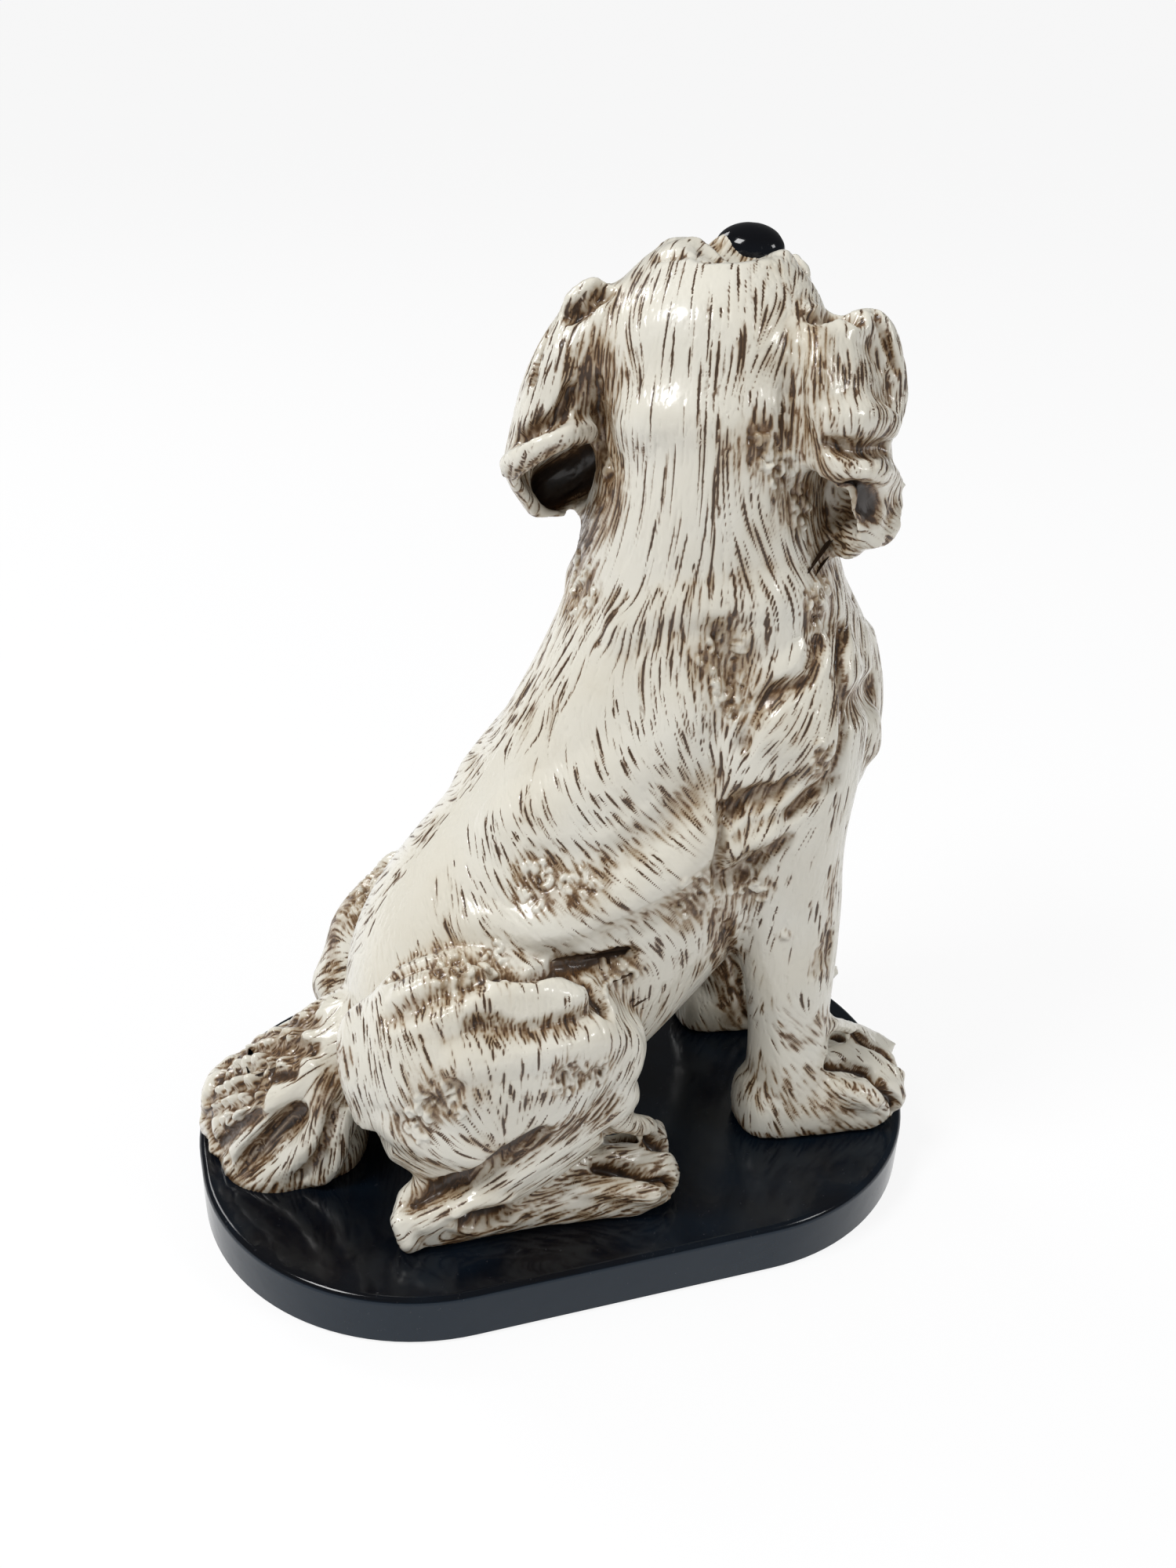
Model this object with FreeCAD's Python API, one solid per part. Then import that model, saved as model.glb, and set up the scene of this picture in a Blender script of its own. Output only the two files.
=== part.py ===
import FreeCAD, Part
import math
import os

# Seated spaniel figure on an oval plinth, in millimetres.
# The origin is the middle of the plinth's underside.
# +X is forward for the dog, +Y is its left, +Z is up.

mm = 1.0
degree = math.pi / 180

# Plinth
plinth_length = 250 * mm
plinth_width = 160 * mm
plinth_height = 19 * mm
plinth_corner_radius = 75 * mm
plinth_top_edge_radius = 2.2 * mm
plinth_foot_bevel = 1.2 * mm

# Seated body: length from the tail's root to the forepaws' toes,
# width across the hind feet, height from the plinth's top to the crown
body_length_share = 0.80
body_width_share = 0.75
body_length = plinth_length * body_length_share
body_width = plinth_width * body_width_share
sit_height = 295 * mm
trunk_width = 94 * mm

# Head
skull_length = 64 * mm
skull_width = 65 * mm
skull_height = 62 * mm
muzzle_length = 36 * mm
muzzle_width = 38 * mm
muzzle_height = 36 * mm
jaw_length = 46 * mm
jaw_width = 28 * mm
jaw_depth = 16 * mm
nose_width = 21 * mm
nose_height = 15 * mm
nose_depth = 15 * mm
eye_diameter = 13 * mm
brow_width = 18 * mm
brow_depth = 11 * mm
head_yaw = 56 * degree
head_pitch = 28 * degree

# Ears
ear_drop = 56 * mm
ear_width = 44 * mm
ear_thickness = 23 * mm
ear_spread = 17 * mm
ear_hollow_length = 30 * mm
ear_hollow_width = 26 * mm
ear_hollow_depth = 20 * mm

# Forelegs
foreleg_depth = 40 * mm
foreleg_width = 30 * mm
forepaw_length = 60 * mm
forepaw_width = 34 * mm
forepaw_height = 27 * mm

# Hind legs
haunch_height = 68 * mm
haunch_thickness = 46 * mm
shank_depth = 26 * mm
shank_width = 22 * mm
hind_foot_length = 96 * mm
hind_foot_width = 24 * mm
hind_foot_height = 22 * mm
toe_count = 4

# Tail
tail_length = 50 * mm
tail_width = 29 * mm
lock_length = 33 * mm
lock_tip_length = 12 * mm
lock_width = 21 * mm
lock_height = 17 * mm
lock_pair_count = 4

# Rounding of a limb's ends: rise and width of each shrinking section
dome_shares = ((0.50, 0.866), (0.866, 0.50), (0.985, 0.17))
dome_depth_share = 0.7
section_points = 10
section_fullness_share = 0.9

# Trunk from the seat to the top of the neck:
# back x and z, breast x and z, half width, lean to the left.
# x is in shares of body_length, z of sit_height, width and lean of trunk_width.
trunk_shares = (
    (-0.290, -0.027, -0.100, -0.040, 0.34, 0.0),
    (-0.350, 0.098, -0.010, 0.058, 0.43, 0.0),
    (-0.360, 0.224, 0.140, 0.129, 0.48, 0.0),
    (-0.285, 0.339, 0.275, 0.224, 0.48, 0.0),
    (-0.172, 0.434, 0.410, 0.332, 0.47, 0.0),
    (-0.084, 0.529, 0.495, 0.447, 0.45, 0.0),
    (-0.020, 0.617, 0.490, 0.556, 0.43, 0.0),
    (0.010, 0.685, 0.425, 0.658, 0.41, 0.0),
    (0.025, 0.763, 0.355, 0.746, 0.385, -0.02),
    (0.045, 0.834, 0.325, 0.834, 0.345, -0.05),
    (0.080, 0.885, 0.290, 0.885, 0.290, -0.06),
    (0.130, 0.915, 0.250, 0.915, 0.160, -0.06),
)

# Seam where the neck is luted on
neck_seam_shares = (0.22, 0.0, 0.69)
neck_seam_tilt = 20 * degree

# Limbs: x, y, z of each section's middle in shares of body_length,
# body_width and sit_height, then its half width and its reach to the front
# or top and to the back or bottom, in shares of the limb's own sizes
foreleg_shares = (
    (0.250, 0.190, 0.650, 0.36, 0.50, 0.46),
    (0.275, 0.245, 0.590, 0.58, 0.62, 0.64),
    (0.290, 0.275, 0.510, 0.60, 0.60, 0.68),
    (0.300, 0.276, 0.420, 0.54, 0.50, 0.56),
    (0.320, 0.262, 0.330, 0.47, 0.46, 0.46),
    (0.338, 0.256, 0.245, 0.43, 0.42, 0.40),
    (0.355, 0.250, 0.155, 0.40, 0.36, 0.34),
    (0.364, 0.250, 0.080, 0.44, 0.38, 0.34),
    (0.372, 0.250, 0.035, 0.46, 0.42, 0.34),
)
right_haunch_shares = (
    (-0.350, 0.290, 0.190, 0.34, 0.36, 0.50),
    (-0.295, 0.330, 0.198, 0.46, 0.50, 0.64),
    (-0.210, 0.355, 0.208, 0.51, 0.53, 0.64),
    (-0.115, 0.370, 0.208, 0.50, 0.48, 0.56),
    (-0.035, 0.392, 0.200, 0.40, 0.38, 0.44),
    (0.010, 0.405, 0.190, 0.27, 0.24, 0.30),
)
left_haunch_shares = (
    (-0.330, 0.280, 0.105, 0.34, 0.30, 0.36),
    (-0.270, 0.325, 0.130, 0.46, 0.44, 0.50),
    (-0.195, 0.350, 0.155, 0.51, 0.50, 0.56),
    (-0.110, 0.370, 0.178, 0.50, 0.48, 0.54),
    (-0.035, 0.392, 0.190, 0.40, 0.38, 0.44),
    (0.010, 0.405, 0.180, 0.27, 0.24, 0.30),
)
shank_shares = (
    (0.005, 0.415, 0.160, 0.50, 0.44, 0.42),
    (-0.075, 0.430, 0.120, 0.54, 0.52, 0.48),
    (-0.170, 0.440, 0.080, 0.48, 0.46, 0.44),
    (-0.255, 0.435, 0.050, 0.42, 0.40, 0.36),
    (-0.310, 0.430, 0.033, 0.40, 0.38, 0.34),
)

# Feet: distance from the heel and height of each section's middle in shares of
# the foot's length and height, then its half width, rise and depth
forepaw_heel_shares = (0.285, 0.250)
forepaw_shares = (
    (0.12, 0.30, 0.38, 0.62, 0.60),
    (0.36, 0.30, 0.46, 0.68, 0.60),
    (0.60, 0.28, 0.50, 0.52, 0.60),
    (0.80, 0.26, 0.48, 0.30, 0.60),
)
hind_foot_heel_shares = (-0.350, 0.425)
hind_foot_shares = (
    (0.08, 0.34, 0.33, 0.58, 0.60),
    (0.26, 0.30, 0.38, 0.56, 0.60),
    (0.50, 0.30, 0.42, 0.54, 0.60),
    (0.75, 0.30, 0.54, 0.60, 0.60),
    (0.88, 0.26, 0.54, 0.36, 0.60),
)
toe_shares = (
    (0.00, 0.46, 0.62),
    (0.40, 0.50, 0.86),
    (0.78, 0.36, 1.00),
    (0.94, 0.26, 0.80),
)
toe_half_width_share = 0.15
toe_fan_share = 0.38
toe_half_height_share = 0.34
forepaw_toe_share = 0.46
hind_foot_toe_share = 0.30

# Tail: distance back, sideways and down from the root in shares of tail_length,
# then half width and half height in shares of tail_width
tail_root_shares = (-0.330, 0.0, 0.150)
tail_shares = (
    (0.00, 0.00, 0.00, 0.58, 0.50),
    (0.22, -0.02, 0.04, 0.56, 0.50),
    (0.44, 0.05, 0.18, 0.52, 0.46),
    (0.66, 0.15, 0.36, 0.42, 0.38),
    (0.80, 0.24, 0.48, 0.28, 0.26),
)

# Locks of the plume: distance out and fall in shares of the lock's length and of
# the height of its root, then half width and half height, and how far they trail back
lock_shares = (
    (0.04, 0.05, 0.56, 0.52),
    (0.36, 0.12, 0.60, 0.56),
    (0.72, 0.50, 0.48, 0.46),
    (0.96, 0.94, 0.22, 0.26),
)
lock_trail_share = 0.22
lock_root_angle = 66 * degree
lock_tip_angle = 24 * degree
lock_place_shares = (0.10, 0.92)

# Head, from its middle: distance forward and up in shares of the skull's or
# muzzle's length and height, then half width, rise and depth
head_middle_shares = (0.190, 0.015, 0.880)
skull_shares = (
    (-0.44, -0.02, 0.34, 0.30, 0.36),
    (-0.24, 0.00, 0.47, 0.46, 0.50),
    (0.00, 0.00, 0.50, 0.50, 0.54),
    (0.22, -0.02, 0.46, 0.46, 0.50),
    (0.38, -0.08, 0.36, 0.34, 0.38),
)
muzzle_root_share = 0.30
muzzle_drop_share = 0.16
muzzle_shares = (
    (0.00, 0.00, 0.56, 0.46, 0.54),
    (0.35, -0.03, 0.50, 0.42, 0.54),
    (0.70, -0.01, 0.50, 0.41, 0.54),
    (0.92, 0.03, 0.42, 0.36, 0.44),
)
jaw_shares = (
    (0.00, 0.00, 0.60, 0.50, 0.50),
    (0.35, 0.00, 0.54, 0.50, 0.50),
    (0.70, 0.06, 0.48, 0.46, 0.46),
    (0.92, 0.14, 0.36, 0.40, 0.40),
)
jaw_root_share = 0.14
jaw_drop_share = 0.47
eye_place_shares = (0.45, 0.25, 0.08)
brow_place_shares = (0.40, 0.23, 0.16)
nose_place_shares = (1.00, 0.14)
nose_reach_shares = (-0.25, 0.12)
brow_reach_share = 0.25

# Ears: outward in shares of ear_spread and down in shares of ear_drop,
# then half width and half thickness
ear_root_shares = (-0.04, 0.42, 0.22)
ear_shares = (
    (-0.10, 0.00, 0.24, 0.44),
    (0.28, 0.08, 0.36, 0.46),
    (0.56, 0.22, 0.45, 0.48),
    (0.74, 0.40, 0.49, 0.52),
    (0.86, 0.62, 0.50, 0.56),
    (1.00, 0.82, 0.44, 0.50),
    (0.92, 0.95, 0.30, 0.38),
)
ear_hollow_shares = (0.62, 0.80, -0.26)
ear_hollow_reach_share = 0.25


upward = FreeCAD.Vector(0, 0, 1)
sideways = FreeCAD.Vector(0, 1, 0)
forward = FreeCAD.Vector(1, 0, 0)


def at(x_share, y_share, z_share, side=1):
    """Point of the seated body, on its left side or, with side -1, its right."""
    return FreeCAD.Vector(
        body_length * x_share,
        side * body_width * y_share,
        plinth_height + sit_height * z_share,
    )


def section(middle, along, up, half_width, over, under):
    """Closed egg-shaped outline across a limb."""
    across = along.cross(up)
    across.normalize()
    rise = across.cross(along)
    rise.normalize()
    points = []
    for index in range(section_points):
        angle = 2 * math.pi * index / section_points
        height = over if math.sin(angle) >= 0 else under
        points.append(
            middle
            + across * (half_width * fuller(math.cos(angle)))
            + rise * (height * fuller(math.sin(angle)))
        )
    curve = Part.BSplineCurve()
    curve.interpolate(points, PeriodicFlag=True)
    return Part.Wire([curve.toShape()])


def fuller(share):
    """Sine or cosine raised a little, which makes an oval fuller at its shoulders."""
    return math.copysign(abs(share) ** section_fullness_share, share)


def directions(middles):
    """Direction of travel at each point of a path."""
    last = len(middles) - 1
    result = []
    for index in range(last + 1):
        step = middles[min(index + 1, last)] - middles[max(index - 1, 0)]
        step.normalize()
        result.append(step)
    return result


def domed_loft(middles, sizes, up):
    """Smooth closed limb through egg-shaped sections, rounded off at its ends."""
    ways = directions(middles)
    wires = dome(middles[0], ways[0] * -1, ways[0], sizes[0], up)[::-1]
    for middle, way, size in zip(middles, ways, sizes):
        wires.append(section(middle, way, up, *size))
    wires += dome(middles[-1], ways[-1], ways[-1], sizes[-1], up)
    return Part.makeLoft(wires, True, False)


def dome(middle, outward, way, size, up):
    """Shrinking sections that round off one end of a limb."""
    depth = dome_depth_share * min(size)
    return [
        section(middle + outward * (depth * rise), way, up, *(part * shrink for part in size))
        for rise, shrink in dome_shares
    ]


def limb(table, width, depth, up, side):
    """Limb of the body from a table of shares, on one side."""
    middles = [at(x, y, z, side) for x, y, z, *_ in table]
    sizes = [(width * w, depth * a, depth * b) for *_, w, a, b in table]
    return above_plinth(domed_loft(middles, sizes, up))


def biggest(shape):
    """The main solid of a trimmed piece, without its offcuts."""
    return max(shape.Solids, key=lambda solid: solid.Volume)


def above_plinth(shape):
    """What stands on the plinth's top, cut flat where it is luted down."""
    reach = 2 * (plinth_length + sit_height)
    corner = FreeCAD.Vector(-reach / 2, -reach / 2, plinth_height)
    return biggest(shape.common(Part.makeBox(reach, reach, reach, corner)))


def trimmed(shape, *others):
    """A piece cut where it meets the larger pieces."""
    for other in others:
        shape = shape.cut(other)
    return biggest(shape)


def make_plinth():
    """Slab with deep round corners, a softened top edge and a bevelled foot."""
    block = Part.makeBox(
        plinth_length, plinth_width, plinth_height,
        FreeCAD.Vector(-plinth_length / 2, -plinth_width / 2, 0),
    )
    corners = [edge for edge in block.Edges if abs(edge.tangentAt(edge.FirstParameter).z) > 0.5]
    slab = block.makeFillet(plinth_corner_radius, corners)
    top = [edge for edge in slab.Edges if edge.BoundBox.ZMin > plinth_height / 2]
    slab = slab.makeFillet(plinth_top_edge_radius, top)
    foot = [edge for edge in slab.Edges if edge.BoundBox.ZMax < plinth_height / 2]
    return slab.makeChamfer(plinth_foot_bevel, foot)


def make_trunk():
    """Torso and neck in one loft, from the side view's back and breast outlines."""
    wires = []
    for back_x, back_z, front_x, front_z, half, lean in trunk_shares:
        back, front = at(back_x, 0, back_z), at(front_x, 0, front_z)
        middle = (back + front) * 0.5 + sideways * (trunk_width * lean)
        reach = (front - back).Length / 2
        rise = (back - front).normalize()
        wires.append(section(middle, rise.cross(sideways), rise, trunk_width * half, reach, reach))
    return above_plinth(Part.makeLoft(wires, True, False))


def split_at_neck(trunk):
    """Torso below and neck above the seam where the two castings are luted."""
    reach = 2 * (body_length + sit_height)
    seam = at(*neck_seam_shares)
    tool = Part.makeBox(reach, reach, reach, seam - FreeCAD.Vector(reach / 2, reach / 2, 0))
    tool.rotate(seam, sideways, neck_seam_tilt / degree)
    return biggest(trunk.cut(tool)), biggest(trunk.common(tool))


def on_side(shape, side):
    """A left piece as it is, or its mirror image for the right."""
    return shape if side > 0 else shape.mirror(at(0, 0, 0), sideways)


def make_foot(heel_shares, shares, toe_share, length, width, height):
    """Left foot along the plinth with a row of rounded toes at its front."""
    heel = at(*heel_shares, 0)
    middles = [heel + FreeCAD.Vector(length * x, 0, height * z) for x, z, *_ in shares]
    sizes = [(width * w, height * a, height * b) for *_, w, a, b in shares]
    foot = domed_loft(middles, sizes, upward)
    for index in range(toe_count):
        spread = 2 * index / (toe_count - 1) - 1
        foot = foot.fuse(make_toe(heel, spread, toe_share, length, width, height))
    return above_plinth(foot)


def make_toe(heel, spread, toe_share, length, width, height):
    """One arched toe, set out to the side by its place in the row."""
    middles, sizes = [], []
    reach = length * toe_share
    back_share = 1 - toe_share - toe_half_width_share * width / length * abs(spread)
    for x, z, swell in toe_shares:
        middles.append(heel + FreeCAD.Vector(
            length * back_share + reach * x,
            width * toe_fan_share * spread,
            height * z,
        ))
        half_height = height * toe_half_height_share * swell
        sizes.append((width * toe_half_width_share * swell, half_height, half_height))
    return domed_loft(middles, sizes, upward)


def make_tail():
    """Core of the tail, from the rump down to the plinth."""
    middles, sizes = [], []
    for back, aside, down, w, h in tail_shares:
        middles.append(tail_point(back, aside, down))
        sizes.append((tail_width * w, tail_width * h, tail_width * h))
    return above_plinth(domed_loft(middles, sizes, upward))


def tail_point(back, aside, down):
    """Point of the tail, in shares of its length from the root."""
    return at(*tail_root_shares) + FreeCAD.Vector(-back, aside, -down) * tail_length


def along_tail(share):
    """Point of the core at a share of the way from its first section to its last."""
    last = len(tail_shares) - 1
    index = min(int(share * last), last - 1)
    here = tail_point(*tail_shares[index][:3])
    following = tail_point(*tail_shares[index + 1][:3])
    return here + (following - here) * (share * last - index)


def make_plume():
    """Locks of the tail's plume, fanned out on both sides of the core and at its end."""
    locks = []
    first, final = lock_place_shares
    for index in range(lock_pair_count):
        share = index / (lock_pair_count - 1)
        angle = lock_root_angle + (lock_tip_angle - lock_root_angle) * share
        length = lock_length + (lock_tip_length - lock_length) * share
        root = along_tail(first + (final - first) * share)
        for side in (-1, 1):
            locks.append(make_lock(root, angle * side, length))
    tip = make_lock(along_tail(1), 0, lock_tip_length)
    return above_plinth(tip.multiFuse(locks))


def make_lock(root, angle, length):
    """One tapered lock that curves out, back and down to the plinth."""
    way = FreeCAD.Vector(-math.cos(angle), math.sin(angle), 0)
    middles, sizes = [], []
    height = root.z - plinth_height
    for out, fall, w, h in lock_shares:
        trail = forward * (length * lock_trail_share * out * out)
        middles.append(root + way * (length * out) - trail - upward * (height * fall))
        sizes.append((lock_width * w, lock_height * h, lock_height * h))
    return domed_loft(middles, sizes, upward)


def head_axes():
    """The head's own directions: to the nose, to its left and to its crown."""
    level = FreeCAD.Vector(math.cos(head_yaw), math.sin(head_yaw), 0)
    nose_way = level * math.cos(head_pitch) + upward * math.sin(head_pitch)
    left_way = upward.cross(level)
    return nose_way, left_way, nose_way.cross(left_way)


def head_loft(root, shares, length, width, height):
    """Loft along the head's own line to the nose."""
    nose_way, left_way, crown_way = head_axes()
    middles = [root + nose_way * (length * x) + crown_way * (height * z) for x, z, *_ in shares]
    sizes = [(width * w, height * a, height * b) for *_, w, a, b in shares]
    return domed_loft(middles, sizes, crown_way)


def head_point(x_share, y_share, z_share):
    """Point of the skull in shares of its sizes, from its middle."""
    nose_way, left_way, crown_way = head_axes()
    return (
        at(*head_middle_shares)
        + nose_way * (skull_length * x_share)
        + left_way * (skull_width * y_share)
        + crown_way * (skull_height * z_share)
    )


def make_head():
    """Skull, muzzle, jaw, nose and eyes, each cut by what it is set against."""
    skull = head_loft(at(*head_middle_shares), skull_shares, skull_length, skull_width, skull_height)
    root = head_point(muzzle_root_share, 0, -muzzle_drop_share)
    muzzle = head_loft(root, muzzle_shares, muzzle_length, muzzle_width, muzzle_height)
    head = skull.fuse(muzzle)
    for side in (1, -1):
        head = head.fuse(make_brow(side))
    nose_way, _, crown_way = head_axes()
    ahead, above = nose_place_shares
    tip = root + nose_way * (muzzle_length * ahead) + crown_way * (muzzle_height * above)
    nose = domed_loft(
        [tip + nose_way * (nose_depth * reach) for reach in nose_reach_shares],
        [(nose_width / 2, nose_height / 2, nose_height / 2)] * 2,
        crown_way,
    )
    jaw_root = head_point(jaw_root_share, 0, -jaw_drop_share)
    jaw = head_loft(jaw_root, jaw_shares, jaw_length, jaw_width, jaw_depth)
    x, y, z = eye_place_shares
    eyes = [Part.makeSphere(eye_diameter / 2, head_point(x, side * y, z)) for side in (1, -1)]
    return head, jaw, nose, eyes


def make_brow(side):
    """Ridge over one eye."""
    _, left_way, crown_way = head_axes()
    x, y, z = brow_place_shares
    middle = head_point(x, side * y, z)
    across = left_way * (brow_width * brow_reach_share)
    half = brow_depth / 2
    return domed_loft([middle - across, middle + across], [(half, half, half)] * 2, crown_way)


def make_ear(side):
    """Hanging lobe with a hollow scooped under its turned rim."""
    left_way = head_axes()[1]
    outward = left_way * side
    level = left_way.cross(upward)
    x, y, z = ear_root_shares
    root = head_point(x, side * y, z)
    middles, sizes = [], []
    for out, down, w, t in ear_shares:
        middles.append(root + outward * (ear_spread * out) - upward * (ear_drop * down))
        sizes.append((ear_width * w, ear_thickness * t, ear_thickness * t))
    lobe = domed_loft(middles, sizes, outward + upward)
    out, down, ahead = ear_hollow_shares
    middle = root + outward * (ear_spread * out) - upward * (ear_drop * down)
    middle += level * (ear_width * ahead)
    reach = upward * (ear_hollow_length * ear_hollow_reach_share)
    hollow = domed_loft(
        [middle + reach, middle - reach],
        [(ear_hollow_width / 2, ear_hollow_depth / 2, ear_hollow_depth / 2)] * 2,
        outward,
    )
    return biggest(lobe.cut(hollow))


def write(name, *solids):
    """Save one node."""
    shape = solids[0] if len(solids) == 1 else Part.makeCompound(list(solids))
    shape.exportStep(os.path.join("parts", name + ".step"))
    print(name, len(shape.Solids), round(shape.Volume), shape.isValid(), len(shape.Faces))


def main():
    """Build every piece, larger ones first, and save them."""
    os.makedirs("parts", exist_ok=True)
    write("plinth", make_plinth())
    torso, neck = split_at_neck(make_trunk())
    head, jaw, nose, eyes = make_head()
    head = trimmed(head, *eyes)
    write("torso", torso)
    write("neck", trimmed(neck, head))
    write("head", head)
    write("lower_jaw", trimmed(jaw, head, neck))
    write("nose", trimmed(nose, head))
    forepaw = make_foot(
        forepaw_heel_shares, forepaw_shares, forepaw_toe_share,
        forepaw_length, forepaw_width, forepaw_height,
    )
    hind_foot = make_foot(
        hind_foot_heel_shares, hind_foot_shares, hind_foot_toe_share,
        hind_foot_length, hind_foot_width, hind_foot_height,
    )
    haunches = []
    for name, side, eye, haunch_shares in (
        ("left", 1, eyes[0], left_haunch_shares),
        ("right", -1, eyes[1], right_haunch_shares),
    ):
        haunch = limb(haunch_shares, haunch_thickness, haunch_height, upward, side)
        haunch = trimmed(haunch, torso)
        haunches.append(haunch)
        foreleg = limb(foreleg_shares, foreleg_width, foreleg_depth, forward, side)
        foreleg = trimmed(foreleg, torso, neck)
        shank = limb(shank_shares, shank_width, shank_depth, upward, side)
        shank = trimmed(shank, haunch, torso)
        write(name + "_haunch", haunch)
        write(name + "_foreleg", foreleg)
        write(name + "_shank", shank)
        write(name + "_forepaw", trimmed(on_side(forepaw, side), foreleg))
        write(name + "_hind_foot", trimmed(on_side(hind_foot, side), shank, haunch, torso))
        write(name + "_ear", trimmed(make_ear(side), head, neck))
        write(name + "_eye", eye)
    tail = trimmed(make_tail(), torso, *haunches)
    write("tail", tail)
    write("tail_plume", trimmed(make_plume(), tail, torso, *haunches))


main()
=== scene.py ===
"""A seated dog figure in antiqued ivory glaze, with its head turned and lifted, on a black glazed plinth.

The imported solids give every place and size. The body is one clay skin, drawn over the solids, worked like
clay (folds, muscles, curls, thousands of incised hairs) and then cut into the named pieces again.
"""

import logging
import math
from dataclasses import dataclass, field
from enum import Enum
from typing import Callable, Iterable, Sequence

import bpy
import numpy as np
from mathutils import Matrix, Vector
from mathutils.bvhtree import BVHTree
from mathutils.geometry import tessellate_polygon
from mathutils.kdtree import KDTree


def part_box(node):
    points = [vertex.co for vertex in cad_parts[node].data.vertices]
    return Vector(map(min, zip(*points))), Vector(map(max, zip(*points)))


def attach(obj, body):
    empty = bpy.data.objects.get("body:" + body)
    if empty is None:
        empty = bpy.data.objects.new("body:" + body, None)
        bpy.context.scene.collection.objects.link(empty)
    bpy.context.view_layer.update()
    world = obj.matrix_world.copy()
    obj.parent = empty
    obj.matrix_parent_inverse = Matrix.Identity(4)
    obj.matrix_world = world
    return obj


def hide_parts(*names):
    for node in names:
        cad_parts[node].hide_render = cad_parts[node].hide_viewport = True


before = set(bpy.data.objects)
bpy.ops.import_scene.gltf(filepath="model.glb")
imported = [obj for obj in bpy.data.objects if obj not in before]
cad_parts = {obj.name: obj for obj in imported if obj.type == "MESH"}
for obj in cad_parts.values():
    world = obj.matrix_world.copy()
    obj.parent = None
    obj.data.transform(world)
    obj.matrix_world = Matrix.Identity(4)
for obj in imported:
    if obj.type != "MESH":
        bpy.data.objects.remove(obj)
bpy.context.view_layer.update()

MM = 0.001
LOG = logging.getLogger("dog figure")
WHITE = (1.0, 1.0, 1.0, 1.0)

# The sockets of a Mix node that blends colours: the share, the two colours and the result
SHARE, FIRST, SECOND, BLENDED = 0, 6, 7, 2

# The share of left in a place on the left side, and on the right side
SIDES = (1.0, -1.0)

# The step, in pixels, at which a line of the photograph is cast onto the skin
PIXEL_STEP = 9.0

# How close points of neighbouring solids are, in metres, that are made one
MERGED = 0.001 * MM

Pixel = tuple[float, float]
Line = Sequence[Sequence[float]]


# Shader sockets and nodes


def _sum_of(kind: str, swapped: bool = False) -> Callable[["Sock", "Sock | float"], "Sock"]:
    """Makes one of Sock's operators.

    Args:
        kind: the Math node's operation.
        swapped: whether the other value stands first.

    Returns:
        The operator, which adds that Math node.
    """

    def operator(self: "Sock", other: "Sock | float") -> "Sock":
        """The two values taken together."""
        return self.combined(kind, *((other, self) if swapped else (self, other)))

    return operator


class Sock:
    """A shader value that can be used in sums, so that an expression adds its own Math nodes."""

    __add__, __radd__ = _sum_of("ADD"), _sum_of("ADD", True)
    __sub__, __rsub__ = _sum_of("SUBTRACT"), _sum_of("SUBTRACT", True)
    __mul__, __rmul__ = _sum_of("MULTIPLY"), _sum_of("MULTIPLY", True)

    def __init__(self, nodes: "Nodes", socket: bpy.types.NodeSocket) -> None:
        """Wraps one output socket.

        Args:
            nodes: the node maker of the material that the socket is in.
            socket: the output that later nodes read.
        """
        self.nodes = nodes
        self.socket = socket

    def combined(self, kind: str, *values: "Sock | float") -> "Sock":
        """Adds one Math node of that kind."""
        return self.nodes.make("Math", dict(enumerate(values)), operation=kind)

    def clamped(self) -> "Sock":
        """The value held between 0 and 1."""
        return self.nodes.make("Clamp", {"Value": self})

    def larger(self, other: "Sock | float") -> "Sock":
        """The larger of two values."""
        return self.combined("MAXIMUM", self, other)

    def step(self, low: float, high: float) -> "Sock":
        """0 below low, 1 above high, and a smooth rise between them."""
        values = {"Value": self, "From Min": low, "From Max": high}
        return self.nodes.make("MapRange", values, interpolation_type="SMOOTHSTEP")


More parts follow.
